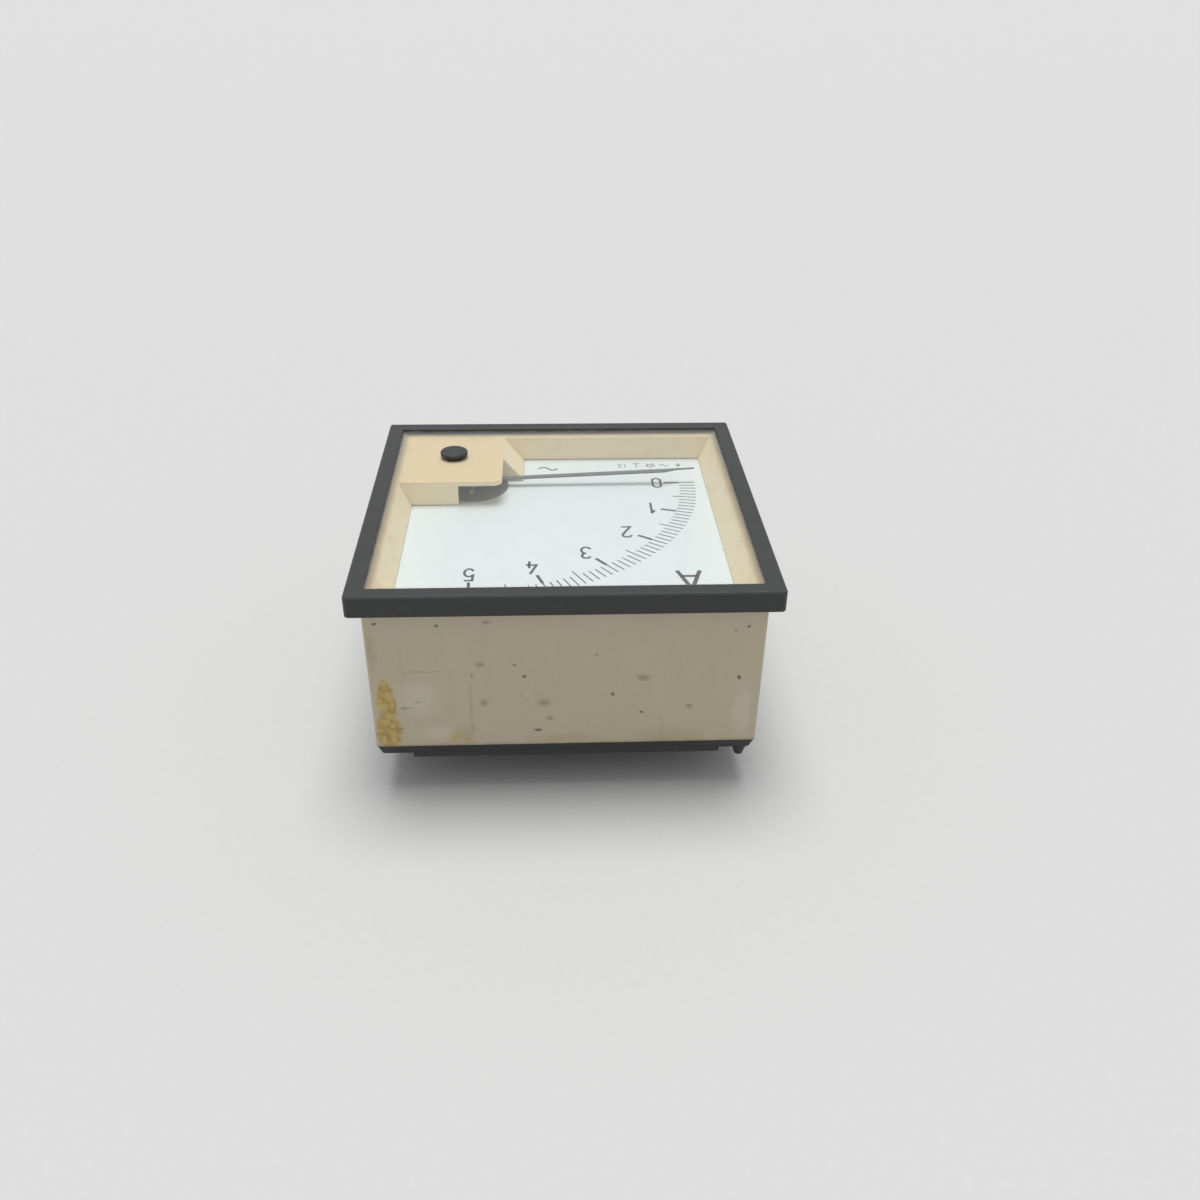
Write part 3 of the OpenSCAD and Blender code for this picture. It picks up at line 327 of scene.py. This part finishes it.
def black_plastic():
    """Satin black moulding, greyed by handling, with hairline scratches and rubbed edges."""
    mat = new_material("black_plastic")
    colour = tint(mat, noise(mat, 9, 3.0), (0.0225, 0.0235, 0.0255), (0.030, 0.0308, 0.0325))
    across = between(mat, noise(mat, 0.5, 2.0, 0.5, (0.05, 1, 1)), 0.66, 0.74)
    along = between(mat, noise(mat, 0.5, 2.0, 0.5, (1, 0.06, 1)), 0.67, 0.75)
    up = between(mat, noise(mat, 0.6, 2.0, 0.5, (1, 1, 0.08)), 0.69, 0.76)
    scratches = times(mat, calc(mat, "MAXIMUM", calc(mat, "MAXIMUM", across, along), up),
                      between(mat, noise(mat, 16, 2.0), 0.48, 0.7))
    colour = coat(mat, colour, scratches, 0.4, (0.10, 0.10, 0.10))
    dust = between(mat, noise(mat, 1.1, 5.0, 0.65), 0.55, 0.8)
    colour = coat(mat, colour, dust, 0.22, (0.09, 0.088, 0.082))
    edges = times(mat, edge_wear(mat, 0.35), between(mat, noise(mat, 2.5, 4.0), 0.35, 0.7))
    colour = coat(mat, colour, edges, 0.55, (0.12, 0.12, 0.122))
    rough = calc(mat, "MULTIPLY_ADD", noise(mat, 3, 4.0), 0.18, 0.40)
    rough = calc(mat, "MULTIPLY_ADD", scratches, 0.15, rough)
    normal = bumps(mat, noise(mat, 0.3, 3.0), 0.010, 0.7, soft_edge(mat, 0.25))
    normal = bumps(mat, noise(mat, 7, 1.0), 0.05, 0.5, normal)
    return surface(mat, Base_Color=colour, Roughness=rough, Normal=normal)


def grey_plastic():
    """Dark grey moulded frame and bobbin, with a fine eroded grain."""
    mat = new_material("grey_plastic")
    colour = tint(mat, noise(mat, 6, 3.0), (0.185, 0.187, 0.188), (0.225, 0.227, 0.228))
    colour = coat(mat, colour, specks(mat, 2.5, 0.12, 0.6), 0.4, (0.4, 0.4, 0.39))
    rough = calc(mat, "MULTIPLY_ADD", noise(mat, 2, 3.0), 0.2, 0.48)
    normal = bumps(mat, noise(mat, 0.25, 3.0), 0.012, 0.8, soft_edge(mat, 0.2))
    return surface(mat, Base_Color=colour, Roughness=rough, Normal=normal)


def seal_rubber():
    """Black sealing compound, matt and a little dusty."""
    mat = new_material("seal_rubber")
    colour = tint(mat, noise(mat, 2, 4.0), (0.022, 0.021, 0.02), (0.05, 0.046, 0.04))
    normal = bumps(mat, noise(mat, 0.3, 3.0), 0.015, 0.8)
    rough = calc(mat, "MULTIPLY_ADD", noise(mat, 1, 3.0), 0.15, 0.68)
    return surface(mat, Base_Color=colour, Roughness=rough, Normal=normal)


def brown_laminate():
    """Brown resin-bonded sheet with the fibres of its paper."""
    mat = new_material("brown_laminate")
    fibres = noise(mat, 0.7, 4.0, 0.6, (0.15, 1, 1))
    colour = tint(mat, fibres, (0.16, 0.085, 0.04), (0.27, 0.16, 0.08))
    normal = bumps(mat, fibres, 0.02, 0.6, soft_edge(mat, 0.1))
    rough = calc(mat, "MULTIPLY_ADD", fibres, 0.2, 0.42)
    return surface(mat, Base_Color=colour, Roughness=rough, Normal=normal)


# ---------------------------------------------------------------- dial and window

def dial_white():
    """Matt white enamel on sheet metal, slightly cool, with a little dust."""
    mat = new_material("dial_white")
    colour = tint(mat, noise(mat, 14, 2.0), (0.775, 0.845, 0.862), (0.80, 0.862, 0.872))
    colour = coat(mat, colour, noise(mat, 0.9, 4.0), 0.10, (0.70, 0.76, 0.77))
    colour = coat(mat, colour, specks(mat, 4.0, 0.10, 0.72), 0.35, (0.35, 0.36, 0.36))
    normal = bumps(mat, noise(mat, 0.5, 2.0), 0.008, 0.6, soft_edge(mat, 0.1))
    rough = calc(mat, "MULTIPLY_ADD", noise(mat, 3, 3.0), 0.1, 0.46)
    return surface(mat, Base_Color=colour, Roughness=rough, Normal=normal)


def scale_ink():
    """Black print, thinner here and there."""
    mat = new_material("scale_ink")
    thin = between(mat, noise(mat, 0.35, 3.0, 0.6), 0.55, 0.85)
    colour = tint(mat, thin, (0.035, 0.039, 0.043), (0.12, 0.13, 0.135))
    normal = bumps(mat, noise(mat, 0.2, 2.0), 0.006, 0.7)
    rough = calc(mat, "MULTIPLY_ADD", thin, 0.2, 0.45)
    return surface(mat, Base_Color=colour, Roughness=rough, Normal=normal)


def pointer_paint():
    """Dark grey lacquer on thin aluminium."""
    mat = new_material("pointer_paint")
    colour = tint(mat, noise(mat, 3, 3.0, 0.5), (0.105, 0.115, 0.12), (0.15, 0.162, 0.168))
    normal = bumps(mat, noise(mat, 0.4, 3.0), 0.006, 0.7, soft_edge(mat, 0.08))
    rough = calc(mat, "MULTIPLY_ADD", noise(mat, 1.5, 3.0), 0.15, 0.36)
    return surface(mat, Base_Color=colour, Roughness=rough, Normal=normal)


def window_glass():
    """Clear pane: it mirrors by Fresnel, lets the rest through, and carries a thin film of dust."""
    mat = new_material("window_glass")
    x, y, _ = axes(mat, place(mat))
    clear = add(mat, "ShaderNodeBsdfTransparent", {"Color": (0.990, 0.995, 0.993, 1)})
    smear = noise(mat, 6, 4.0, 0.6, (1, 0.5, 1))
    normal = bumps(mat, noise(mat, 20, 1.0), 0.01, 0.4)
    mirror = add(mat, "ShaderNodeBsdfGlossy", {"Color": (1, 1, 1, 1), "Normal": normal,
                 "Roughness": between(mat, smear, 0.35, 0.75, 0.015, 0.10)})
    # Both faces of the pane mirror, and both are counted on the one that a ray enters by
    fresnel = add(mat, "ShaderNodeFresnel", {"IOR": 1.49}).outputs[0]
    inside = add(mat, "ShaderNodeNewGeometry").outputs["Backfacing"]
    mirrored = times(mat, fresnel, 1.6, calc(mat, "SUBTRACT", 1.0, inside))
    pane = add(mat, "ShaderNodeMixShader", {0: mirrored, 1: clear.outputs[0], 2: mirror.outputs[0]})
    off_middle = off_centre(mat, x, y)
    edge = times(mat, between(mat, off_middle, WINDOW / MM - 2.2, WINDOW / MM), noise(mat, 2.5, 4.0), 0.45)
    film = times(mat, between(mat, smear, 0.45, 0.8), 0.02)
    grains = times(mat, specks(mat, 3.0, 0.09, 0.8), 0.25)
    dust = calc(mat, "MAXIMUM", calc(mat, "MAXIMUM", film, grains), edge)
    grey = add(mat, "ShaderNodeBsdfDiffuse", {"Color": (0.46, 0.42, 0.34, 1)})
    whole = add(mat, "ShaderNodeMixShader", {0: dust, 1: pane.outputs[0], 2: grey.outputs[0]})
    out = add(mat, "ShaderNodeOutputMaterial")
    mat.node_tree.links.new(whole.outputs[0], out.inputs[0])
    return mat


# ---------------------------------------------------------------- metals

def metal(name, clean, tarnished, rough, grain=0.25, patchy=4.0, cover=0.5):
    """Metal with turning marks, handling wear and tarnish in patches."""
    mat = new_material(name)
    patches = between(mat, noise(mat, patchy, 5.0, 0.6), 0.62 - 0.25 * cover, 0.9 - 0.3 * cover)
    colour = tint(mat, patches, clean, tarnished)
    pits = specks(mat, 1.1, 0.07, 0.6)
    colour = coat(mat, colour, pits, 0.5, tuple(0.3 * c for c in tarnished))
    turned = noise(mat, grain, 2.0, 0.5, (0.3, 0.3, 1))
    normal = bumps(mat, turned, 0.008, 0.7, soft_edge(mat, 0.1))
    shine = calc(mat, "MULTIPLY_ADD", patches, 0.22, rough)
    shine = calc(mat, "MULTIPLY_ADD", turned, 0.10, shine)
    return surface(mat, Base_Color=colour, Metallic=1.0, Roughness=shine, Normal=normal)


def copper_wire():
    """Enamelled winding wire: copper under a clear amber coat."""
    mat = new_material("copper_wire")
    colour = tint(mat, noise(mat, 2.0, 4.0), (0.50, 0.20, 0.085), (0.36, 0.12, 0.045))
    normal = bumps(mat, noise(mat, 0.3, 2.0), 0.01, 0.6)
    rough = calc(mat, "MULTIPLY_ADD", noise(mat, 0.8, 3.0), 0.15, 0.30)
    return surface(mat, Base_Color=colour, Metallic=0.85, Roughness=rough, Normal=normal,
                   Coat_Weight=0.6, Coat_Roughness=0.15)


def slot_materials():
    """One material for each slot of the record."""
    return {
        "ivory_plastic": ivory_plastic(),
        "black_plastic": black_plastic(),
        "grey_plastic": grey_plastic(),
        "seal_rubber": seal_rubber(),
        "brown_laminate": brown_laminate(),
        "dial_white": dial_white(),
        "scale_ink": scale_ink(),
        "pointer_paint": pointer_paint(),
        "window_glass": window_glass(),
        "copper_wire": copper_wire(),
        "brass": metal("brass", (0.72, 0.53, 0.25), (0.36, 0.24, 0.10), 0.24),
        "tinned_brass": metal("tinned_brass", (0.68, 0.66, 0.60), (0.42, 0.38, 0.30), 0.30),
        "zinc_steel": metal("zinc_steel", (0.60, 0.60, 0.57), (0.33, 0.31, 0.26), 0.30),
        "soft_iron": metal("soft_iron", (0.36, 0.36, 0.37), (0.20, 0.15, 0.11), 0.42, cover=0.4),
        "bare_aluminium": metal("bare_aluminium", (0.80, 0.81, 0.82), (0.60, 0.61, 0.61), 0.32, cover=0.3),
        "spring_bronze": metal("spring_bronze", (0.66, 0.42, 0.20), (0.42, 0.25, 0.12), 0.25, cover=0.3),
    }


# ---------------------------------------------------------------- mesh helpers

def mesh_piece(name, bm, material, body):
    """A bmesh as a piece that rides on a body, with its material slot."""
    bmesh.ops.recalc_face_normals(bm, faces=bm.faces)
    mesh = bpy.data.meshes.new(name)
    bm.to_mesh(mesh)
    bm.free()
    mesh.materials.append(material)
    piece = bpy.data.objects.new(name, mesh)
    bpy.context.scene.collection.objects.link(piece)
    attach(piece, body)
    return piece


def solid_boxes(node):
    """The lowest and highest corner of each separate solid of a CAD node."""
    bm = bmesh.new()
    bm.from_mesh(frame["nodes"][node].data)
    bmesh.ops.remove_doubles(bm, verts=bm.verts, dist=1e-7)
    boxes, seen = [], set()
    for start in bm.verts:
        if start in seen:
            continue
        seen.add(start)
        found, queue = [start], [start]
        while queue:
            for edge in queue.pop().link_edges:
                for v in edge.verts:
                    if v not in seen:
                        seen.add(v)
                        found.append(v)
                        queue.append(v)
        boxes.append((Vector([min(v.co[i] for v in found) for i in range(3)]),
                      Vector([max(v.co[i] for v in found) for i in range(3)])))
    bm.free()
    return boxes


def lathe(bm, centre, radius_at, levels, segments, closed=True):
    """Rings round the vertical line through centre, at the distance that radius_at(z, angle) gives."""
    rings = []
    for z in levels:
        ring = []
        for i in range(segments):
            a = 2 * math.pi * i / segments
            r = radius_at(z, a)
            ring.append(bm.verts.new((centre.x + r * math.cos(a), centre.y + r * math.sin(a), z)))
        rings.append(ring)
    for low, high in zip(rings, rings[1:]):
        for i in range(segments):
            j = (i + 1) % segments
            bm.faces.new((low[i], low[j], high[j], high[i]))
    if closed:
        bm.faces.new(rings[0][::-1])
        bm.faces.new(rings[-1])
    return rings


def steps(low, high, count):
    """Evenly spaced levels from low to high, count steps apart."""
    return [low + (high - low) * i / count for i in range(count + 1)]


def smooth(piece, angle=35):
    """Smooth shading, but for edges sharper than this angle in degrees."""
    piece.data.shade_smooth()
    piece.data.set_sharp_from_angle(angle=math.radians(angle))
    return piece


# ---------------------------------------------------------------- threads, nuts and screw heads

TERMINAL_PITCH = 1.0 * MM                # M6
TERMINAL_BORE_R = 2.5 * MM
FIXING_R, FIXING_PITCH = 2.0 * MM, 0.7 * MM      # M4
COLLAR_R = 2.6 * MM                      # round neck of a fixing stud, between its thread and its head
ROUND, HEXAGON_ROUND = 36, 96            # points round a thread, and round a nut or a hexagon head


def thread_radius(radius, pitch, low, high):
    """Radius of a screw thread at a height and an angle, with both ends chamfered."""
    depth, end_slope = 0.6 * pitch, 1.2

    def at(z, angle):
        turn = (z - low) / pitch - angle / (2 * math.pi)
        flank = abs(2 * (turn % 1.0) - 1)                 # 1 at the crest, 0 at the root
        shaped = min(1.0, max(0.0, 1.25 * flank - 0.1))
        r = radius - depth * (1 - shaped)
        return min(r, radius - depth + (z - low) * end_slope, radius - depth + (high - z) * end_slope)
    return at


def threaded_rod(bm, centre, radius, pitch, low, high, levels_per_turn=8):
    levels = steps(low, high, round(levels_per_turn * (high - low) / pitch))
    lathe(bm, centre, thread_radius(radius, pitch, low, high), levels, ROUND)


def hexagon(bm, centre, flat, low, high, bore=0.0):
    """Hexagon prism with chamfered corners. flat is half its width across flats, along Y."""
    chamfer, cone_top, cone_slope = 0.16 * flat, 0.97 * flat, 1.75
    sixth = math.pi / 3

    def outside(z, angle):
        corner = flat / math.cos(angle % sixth - sixth / 2)
        return min(corner, cone_top + min(z - low, high - z) * cone_slope)

    levels = [low, low + 0.5 * chamfer, low + chamfer, high - chamfer, high - 0.5 * chamfer, high]
    rings = lathe(bm, centre, outside, levels, HEXAGON_ROUND, closed=not bore)
    if not bore:
        return
    inner = lathe(bm, centre, lambda z, a: bore, [low, high], HEXAGON_ROUND, closed=False)
    for i in range(HEXAGON_ROUND):
        j = (i + 1) % HEXAGON_ROUND
        bm.faces.new((rings[0][j], rings[0][i], inner[0][i], inner[0][j]))
        bm.faces.new((rings[-1][i], rings[-1][j], inner[-1][j], inner[-1][i]))


def terminal_studs(materials):
    """Threaded terminal studs, as long and as thick as the plain ones of the frame."""
    bm = bmesh.new()
    for low, high in solid_boxes("terminal_studs"):
        threaded_rod(bm, (low + high) / 2, (high.x - low.x) / 2, TERMINAL_PITCH, low.z, high.z)
    piece = smooth(mesh_piece("terminal_stud_threads", bm, materials["brass"], "case"))
    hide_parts("terminal_studs")


def fixing_studs(materials):
    """Threaded studs with the collar and the hexagon head that are moulded into the base."""
    into_collar, into_head = 0.4 * MM, 0.2 * MM
    bm = bmesh.new()
    for low, high in solid_boxes("fixing_studs"):
        centre = (low + high) / 2
        threaded_rod(bm, centre, FIXING_R, FIXING_PITCH, low.z, PANEL_Z + into_collar)
        lathe(bm, centre, lambda z, a: COLLAR_R, [PANEL_Z, BASE_Z + into_head], ROUND)
        hexagon(bm, centre, (high.y - low.y) / 2, BASE_Z, high.z)
    piece = smooth(mesh_piece("fixing_stud_threads", bm, materials["zinc_steel"], "case"))
    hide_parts("fixing_studs")


def terminal_nuts(materials):
    """Chamfered hexagon nuts on the terminal studs."""
    bm = bmesh.new()
    for low, high in solid_boxes("terminal_nuts"):
        hexagon(bm, (low + high) / 2, (high.y - low.y) / 2, low.z, high.z, TERMINAL_BORE_R)
    piece = smooth(mesh_piece("terminal_hexagon_nuts", bm, materials["brass"], "case"), 20)
    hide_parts("terminal_nuts")


def cut(piece, cutter_bm):
    """Takes a closed mesh out of a piece."""
    mesh = bpy.data.meshes.new("cutter")
    cutter_bm.to_mesh(mesh)
    cutter_bm.free()
    cutter = bpy.data.objects.new("cutter", mesh)
    bpy.context.scene.collection.objects.link(cutter)
    modifier = piece.modifiers.new("cut", "BOOLEAN")
    modifier.object = cutter
    modifier.operation = "DIFFERENCE"
    modifier.solver = "EXACT"
    bpy.context.view_layer.update()
    result = bpy.data.meshes.new_from_object(piece.evaluated_get(bpy.context.evaluated_depsgraph_get()))
    piece.modifiers.clear()
    piece.data = result
    bpy.data.objects.remove(cutter)


def base_screws(materials):
    """Pan heads with a cross recess, seen from behind, on their shanks."""
    head_h, shank_r = 1.6 * MM, 1.1 * MM
    recess_h, recess_middle, recess_turn = 1.5 * MM, 0.35 * MM, 20
    recess_long, recess_wide = 1.25, 0.26        # of the head's radius
    bm, cutter = bmesh.new(), bmesh.new()
    for low, high in solid_boxes("base_screws"):
        centre = (low + high) / 2
        head_r = (high.x - low.x) / 2

        def outline(z, angle):
            rise = (z - low.z) / head_h
            return head_r * math.sqrt(max(0.0, 1 - 0.62 * (1 - rise) ** 2.6)) if rise < 1 else head_r

        lathe(bm, centre, outline, steps(low.z, low.z + head_h, 8), 48)
        lathe(bm, centre, lambda z, a: shank_r, [low.z + head_h, high.z], 24)
        middle = Matrix.Translation((centre.x, centre.y, low.z + recess_middle))
        arm = Matrix.Diagonal((recess_long * head_r, recess_wide * head_r, recess_h, 1))
        for turn in (recess_turn, recess_turn + 90):
            turned = Matrix.Rotation(math.radians(turn), 4, "Z")
            bmesh.ops.create_cube(cutter, size=1.0, matrix=middle @ turned @ arm)
    piece = mesh_piece("base_screw_heads", bm, materials["zinc_steel"], "case")
    cut(piece, cutter)
    smooth(piece)
    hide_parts("base_screws")


# ---------------------------------------------------------------- print on the dial

def ribbon(bm, points, width, loop=False):
    """Flat printed line of one width along points of the dial."""
    count = len(points)
    pairs = []
    for i, p in enumerate(points):
        before = points[(i - 1) % count] if loop or i else p
        after = points[(i + 1) % count] if loop or i < count - 1 else p
        a, b = (p - before), (after - p)
        a = a.normalized() if a.length else b.normalized()
        b = b.normalized() if b.length else a
        along = (a + b).normalized()
        side = Vector((-along.y, along.x, 0)) * width / 2 / max(0.4, along.dot(b))
        pairs.append([[bm.verts.new((p.x + s * side.x, p.y + s * side.y, z))
                       for z in (DIAL_Z, DIAL_Z + INK)] for s in (1, -1)])
    for (l0, r0), (l1, r1) in zip(pairs, pairs[1:] + pairs[:1] if loop else pairs[1:]):
        bm.faces.new((l0[1], r0[1], r1[1], l1[1]))
        bm.faces.new((l0[0], l1[0], r1[0], r0[0]))
        bm.faces.new((l0[0], l0[1], l1[1], l1[0]))
        bm.faces.new((r0[1], r0[0], r1[0], r1[1]))
    if not loop:
        for l, r in (pairs[0], pairs[-1]):
            bm.faces.new((l[0], l[1], r[1], r[0]))


def arc(centre, reach, start, end, count=16):
    """Points of an elliptic arc. centre and reach are pairs, the angles are in degrees."""
    return [Vector((centre[0] + reach[0] * math.cos(math.radians(start + (end - start) * i / count)),
                    centre[1] + reach[1] * math.sin(math.radians(start + (end - start) * i / count)), 0))
            for i in range(count + 1)]


def path(*points):
    """Points of a line given as pairs."""
    return [Vector((x, y, 0)) for x, y in points]


def numeral_strokes(digit):
    """Strokes of an upright numeral, one unit from its middle to the sides and 2.5 to the top and bottom."""
    round_top, round_low = (0, 1.5), (0, -1.5)
    if digit == 0:
        return [(arc(round_top, (1, 1), 0, 180) + arc(round_low, (1, 1), 180, 360), True)]
    if digit == 1:
        return [(path((0.45, -2.75), (0.45, 2.75)), False), (path((0.5, 2.6), (-0.8, 1.25)), False)]
    if digit == 2:
        return [(arc(round_top, (1, 1), 170, -25) + path((-0.95, -2.5), (1.15, -2.5)), False)]
    if digit == 3:
        return [(arc((-0.05, 1.4), (0.95, 1.1), 160, -80), False),
                (arc((-0.05, -1.1), (1.05, 1.4), 90, -160), False)]
    if digit == 4:
        return [(path((0.3, 2.75), (-1.1, -1.15), (1.25, -1.15)), False),
                (path((0.5, 0.25), (0.5, -2.75)), False)]
    return [(path((0.95, 2.5), (-0.8, 2.5), (-0.9, 0.2)) + arc((0, -0.85), (1, 1.65), 135, -155), False)]


def print_numeral(bm, digit, middle, height, width, line):
    """Numeral whose strokes fill this height and width."""
    fit = Vector(((width - line) / 2, (height - line) / 5, 0))
    for points, loop in numeral_strokes(digit):
        ribbon(bm, [middle + Vector((p.x * fit.x, p.y * fit.y, 0)) for p in points], line, loop)


def numerals(materials):
    """The scale's whole units, upright, just inside the feet of their marks."""
    height, wide, narrow, line, gap = 6.1 * MM, 2.8 * MM, 1.9 * MM, 0.62 * MM, 0.5 * MM
    bm = bmesh.new()
    for unit in range(SCALE_UNITS + 1):
        width = narrow if unit == 1 else wide
        d = direction(SCALE_ZERO - unit * SCALE_SWEEP / SCALE_UNITS)
        r = FOOT_R - gap - width / 2 * abs(d.x) - height / 2 * abs(d.y)
        print_numeral(bm, unit, PIVOT + d * r, height, width, line)
    mesh_piece("scale_numerals", bm, materials["scale_ink"], "case")


def unit_letter(materials):
    """The sign of the ampere in the dial's upper left corner."""
    middle = Vector((-29.3, 27.7, 0)) * MM
    high, wide, top, line = 4.0 * MM, 2.7 * MM, 0.2 * MM, 1.0 * MM       # half sizes, but for the line
    bm = bmesh.new()
    for side in (-1, 1):
        ribbon(bm, [middle + Vector((side * wide, -high, 0)), middle + Vector((side * top, high, 0))], line)
    bar_low, bar_reach = 0.36 * high, 0.68 * wide
    ribbon(bm, [middle + Vector((x, -bar_low, 0)) for x in (-bar_reach, bar_reach)], 0.85 * line)
    mesh_piece("unit_letter", bm, materials["scale_ink"], "case")


def wave_line(middle, length, height, count=24):
    """One period of a sine, the sign of alternating current."""
    return [middle + Vector(((i / count - 0.5) * length, math.sin(2 * math.pi * i / count) * height / 2, 0))
            for i in range(count + 1)]


def star(middle, radius):
    return [middle + direction(90 + 36 * i) * (radius if i % 2 == 0 else 0.45 * radius) for i in range(10)]


def dial_symbols(materials):
    """Instrument symbols in the dial's lower left, and a larger wave beside the corner cover.

    From the left: moving iron, alternating current, test voltage, upright position, accuracy class.
    """
    size, pitch, line = 2.5 * MM, 3.9 * MM, 0.2 * MM
    first = Vector((-33.0, -37.6, 0)) * MM + Vector((0, size / 2, 0))
    iron, current, voltage, position, accuracy = [first + Vector((i * pitch, 0, 0)) for i in range(5)]
    bm = bmesh.new()

    def sized(middle, *points):
        """Points given in shares of a symbol's size, round its middle."""
        return [middle + p * size for p in path(*points)]

    ribbon(bm, sized(iron, (0, 0.5), (0, 0.2), (-0.25, 0.1), (0.25, -0.05), (-0.25, -0.2), (0, -0.3),
                     (0, -0.5)), line)
    ribbon(bm, wave_line(current, size, 0.5 * size), line)
    ribbon(bm, star(voltage, 0.55 * size), line, loop=True)
    ribbon(bm, sized(position, (0, 0.5), (0, -0.45)), line)
    ribbon(bm, sized(position, (-0.4, -0.5), (0.4, -0.5)), line)
    one, five = sized(accuracy, (-0.3, 0), (0.3, 0))
    digit_high, digit_line = 0.85 * size, 0.7 * line
    print_numeral(bm, 1, one, digit_high, 0.2 * size, digit_line)
    ribbon(bm, sized(accuracy, (-0.02, -0.42), (-0.02, -0.3)), line)
    print_numeral(bm, 5, five, digit_high, 0.35 * size, digit_line)
    beside_cover, wave_long, wave_high = Vector((3.5, -34.7, 0)) * MM, 5.2 * MM, 1.9 * MM
    ribbon(bm, wave_line(beside_cover, wave_long, wave_high), 0.45 * MM)
    mesh_piece("dial_symbols", bm, materials["scale_ink"], "case")


# ---------------------------------------------------------------- the whole meter

def dress_frame(materials):
    """Gives every CAD node the material of its slot in the record."""
    for part in frame["record"]["subparts"]:
        mesh = frame["nodes"][part["node"]].data
        material = materials[part["material_slot"]]
        if not mesh.materials:
            mesh.materials.append(material)
        for i in range(len(mesh.materials)):
            mesh.materials[i] = material


# ---------------------------------------------------------------- stage, light and camera

STAGE = (0.675, 0.68, 0.675)
FLOOR_REACH = 6.0                        # half width of the floor, metres


def floor():
    """Plain pale paper under the meter."""
    mat = new_material("floor_paper")
    darker, lighter = (tuple(share * c for c in STAGE) for share in (0.97, 1.03))
    colour = tint(mat, noise(mat, 2.2, 5.0, 0.65), darker, lighter)
    normal = bumps(mat, noise(mat, 0.9, 4.0, 0.6), 0.05, 0.35)
    surface(mat, Base_Color=colour, Roughness=0.75, Normal=normal)
    bm = bmesh.new()
    bmesh.ops.create_grid(bm, x_segments=1, y_segments=1, size=FLOOR_REACH)
    mesh = bpy.data.meshes.new("floor")
    bm.to_mesh(mesh)
    bm.free()
    mesh.materials.append(mat)
    ob = bpy.data.objects.new("floor", mesh)
    bpy.context.scene.collection.objects.link(ob)


def world(strength):
    """Soft light from all sides. What the camera and mirrors see of it is the colour of the stage."""
    w = bpy.data.worlds.new("studio")
    w.use_nodes = True
    nodes, links = w.node_tree.nodes, w.node_tree.links
    nodes.clear()
    rays = nodes.new("ShaderNodeLightPath")
    seen = nodes.new("ShaderNodeMath")
    seen.operation = "MAXIMUM"
    links.new(rays.outputs["Is Camera Ray"], seen.inputs[0])
    links.new(rays.outputs["Is Glossy Ray"], seen.inputs[1])
    light = nodes.new("ShaderNodeBackground")
    light.inputs[0].default_value = (1.0, 1.0, 1.0, 1)
    light.inputs[1].default_value = strength
    picture = nodes.new("ShaderNodeBackground")
    picture.inputs[0].default_value = STAGE + (1,)
    picture.inputs[1].default_value = 1.0
    mix = nodes.new("ShaderNodeMixShader")
    out = nodes.new("ShaderNodeOutputWorld")
    links.new(seen.outputs[0], mix.inputs[0])
    links.new(light.outputs[0], mix.inputs[1])
    links.new(picture.outputs[0], mix.inputs[2])
    links.new(mix.outputs[0], out.inputs[0])
    bpy.context.scene.world = w


def broad_light(name, toward, spread, strength):
    """Even light over the whole stage from one side, as wide as this angle."""
    data = bpy.data.lights.new(name, "SUN")
    data.angle = math.radians(spread)
    data.energy = strength
    ob = bpy.data.objects.new(name, data)
    ob.location = Vector(toward)
    ob.rotation_euler = (-Vector(toward)).to_track_quat("-Z", "Y").to_euler()
    bpy.context.scene.collection.objects.link(ob)


def camera():
    """Above and in front of the meter's top edge, so that the dial is seen upside down."""
    pitch, yaw, roll = math.radians(31.12), math.radians(3.05), math.radians(0.79)
    data = bpy.data.cameras.new("camera")
    data.sensor_width = 36
    data.lens = 34.2
    data.clip_start = 0.01
    data.clip_end = 50
    ob = bpy.data.objects.new("camera", data)
    ob.location = Vector((4.04, 257.52, 181.36)) * MM
    # Level and looking at the meter's bottom edge, then turned, tipped down and rolled
    turned = Matrix.Rotation(math.pi - yaw, 3, "Z")
    tipped = Matrix.Rotation(math.pi / 2 - pitch, 3, "X")
    ob.rotation_euler = (turned @ tipped @ Matrix.Rotation(roll, 3, "Z")).to_euler()
    bpy.context.scene.collection.objects.link(ob)
    bpy.context.scene.camera = ob


def studio():
    floor()
    world(strength=0.44)
    broad_light("overhead", toward=(0.0, -0.12, 1.0), spread=34, strength=2.0)
    camera()
    bpy.context.scene.view_settings.view_transform = "Standard"


# ---------------------------------------------------------------- build

studio()
materials = slot_materials()
dress_frame(materials)
terminal_studs(materials)
fixing_studs(materials)
terminal_nuts(materials)
base_screws(materials)
numerals(materials)
unit_letter(materials)
dial_symbols(materials)
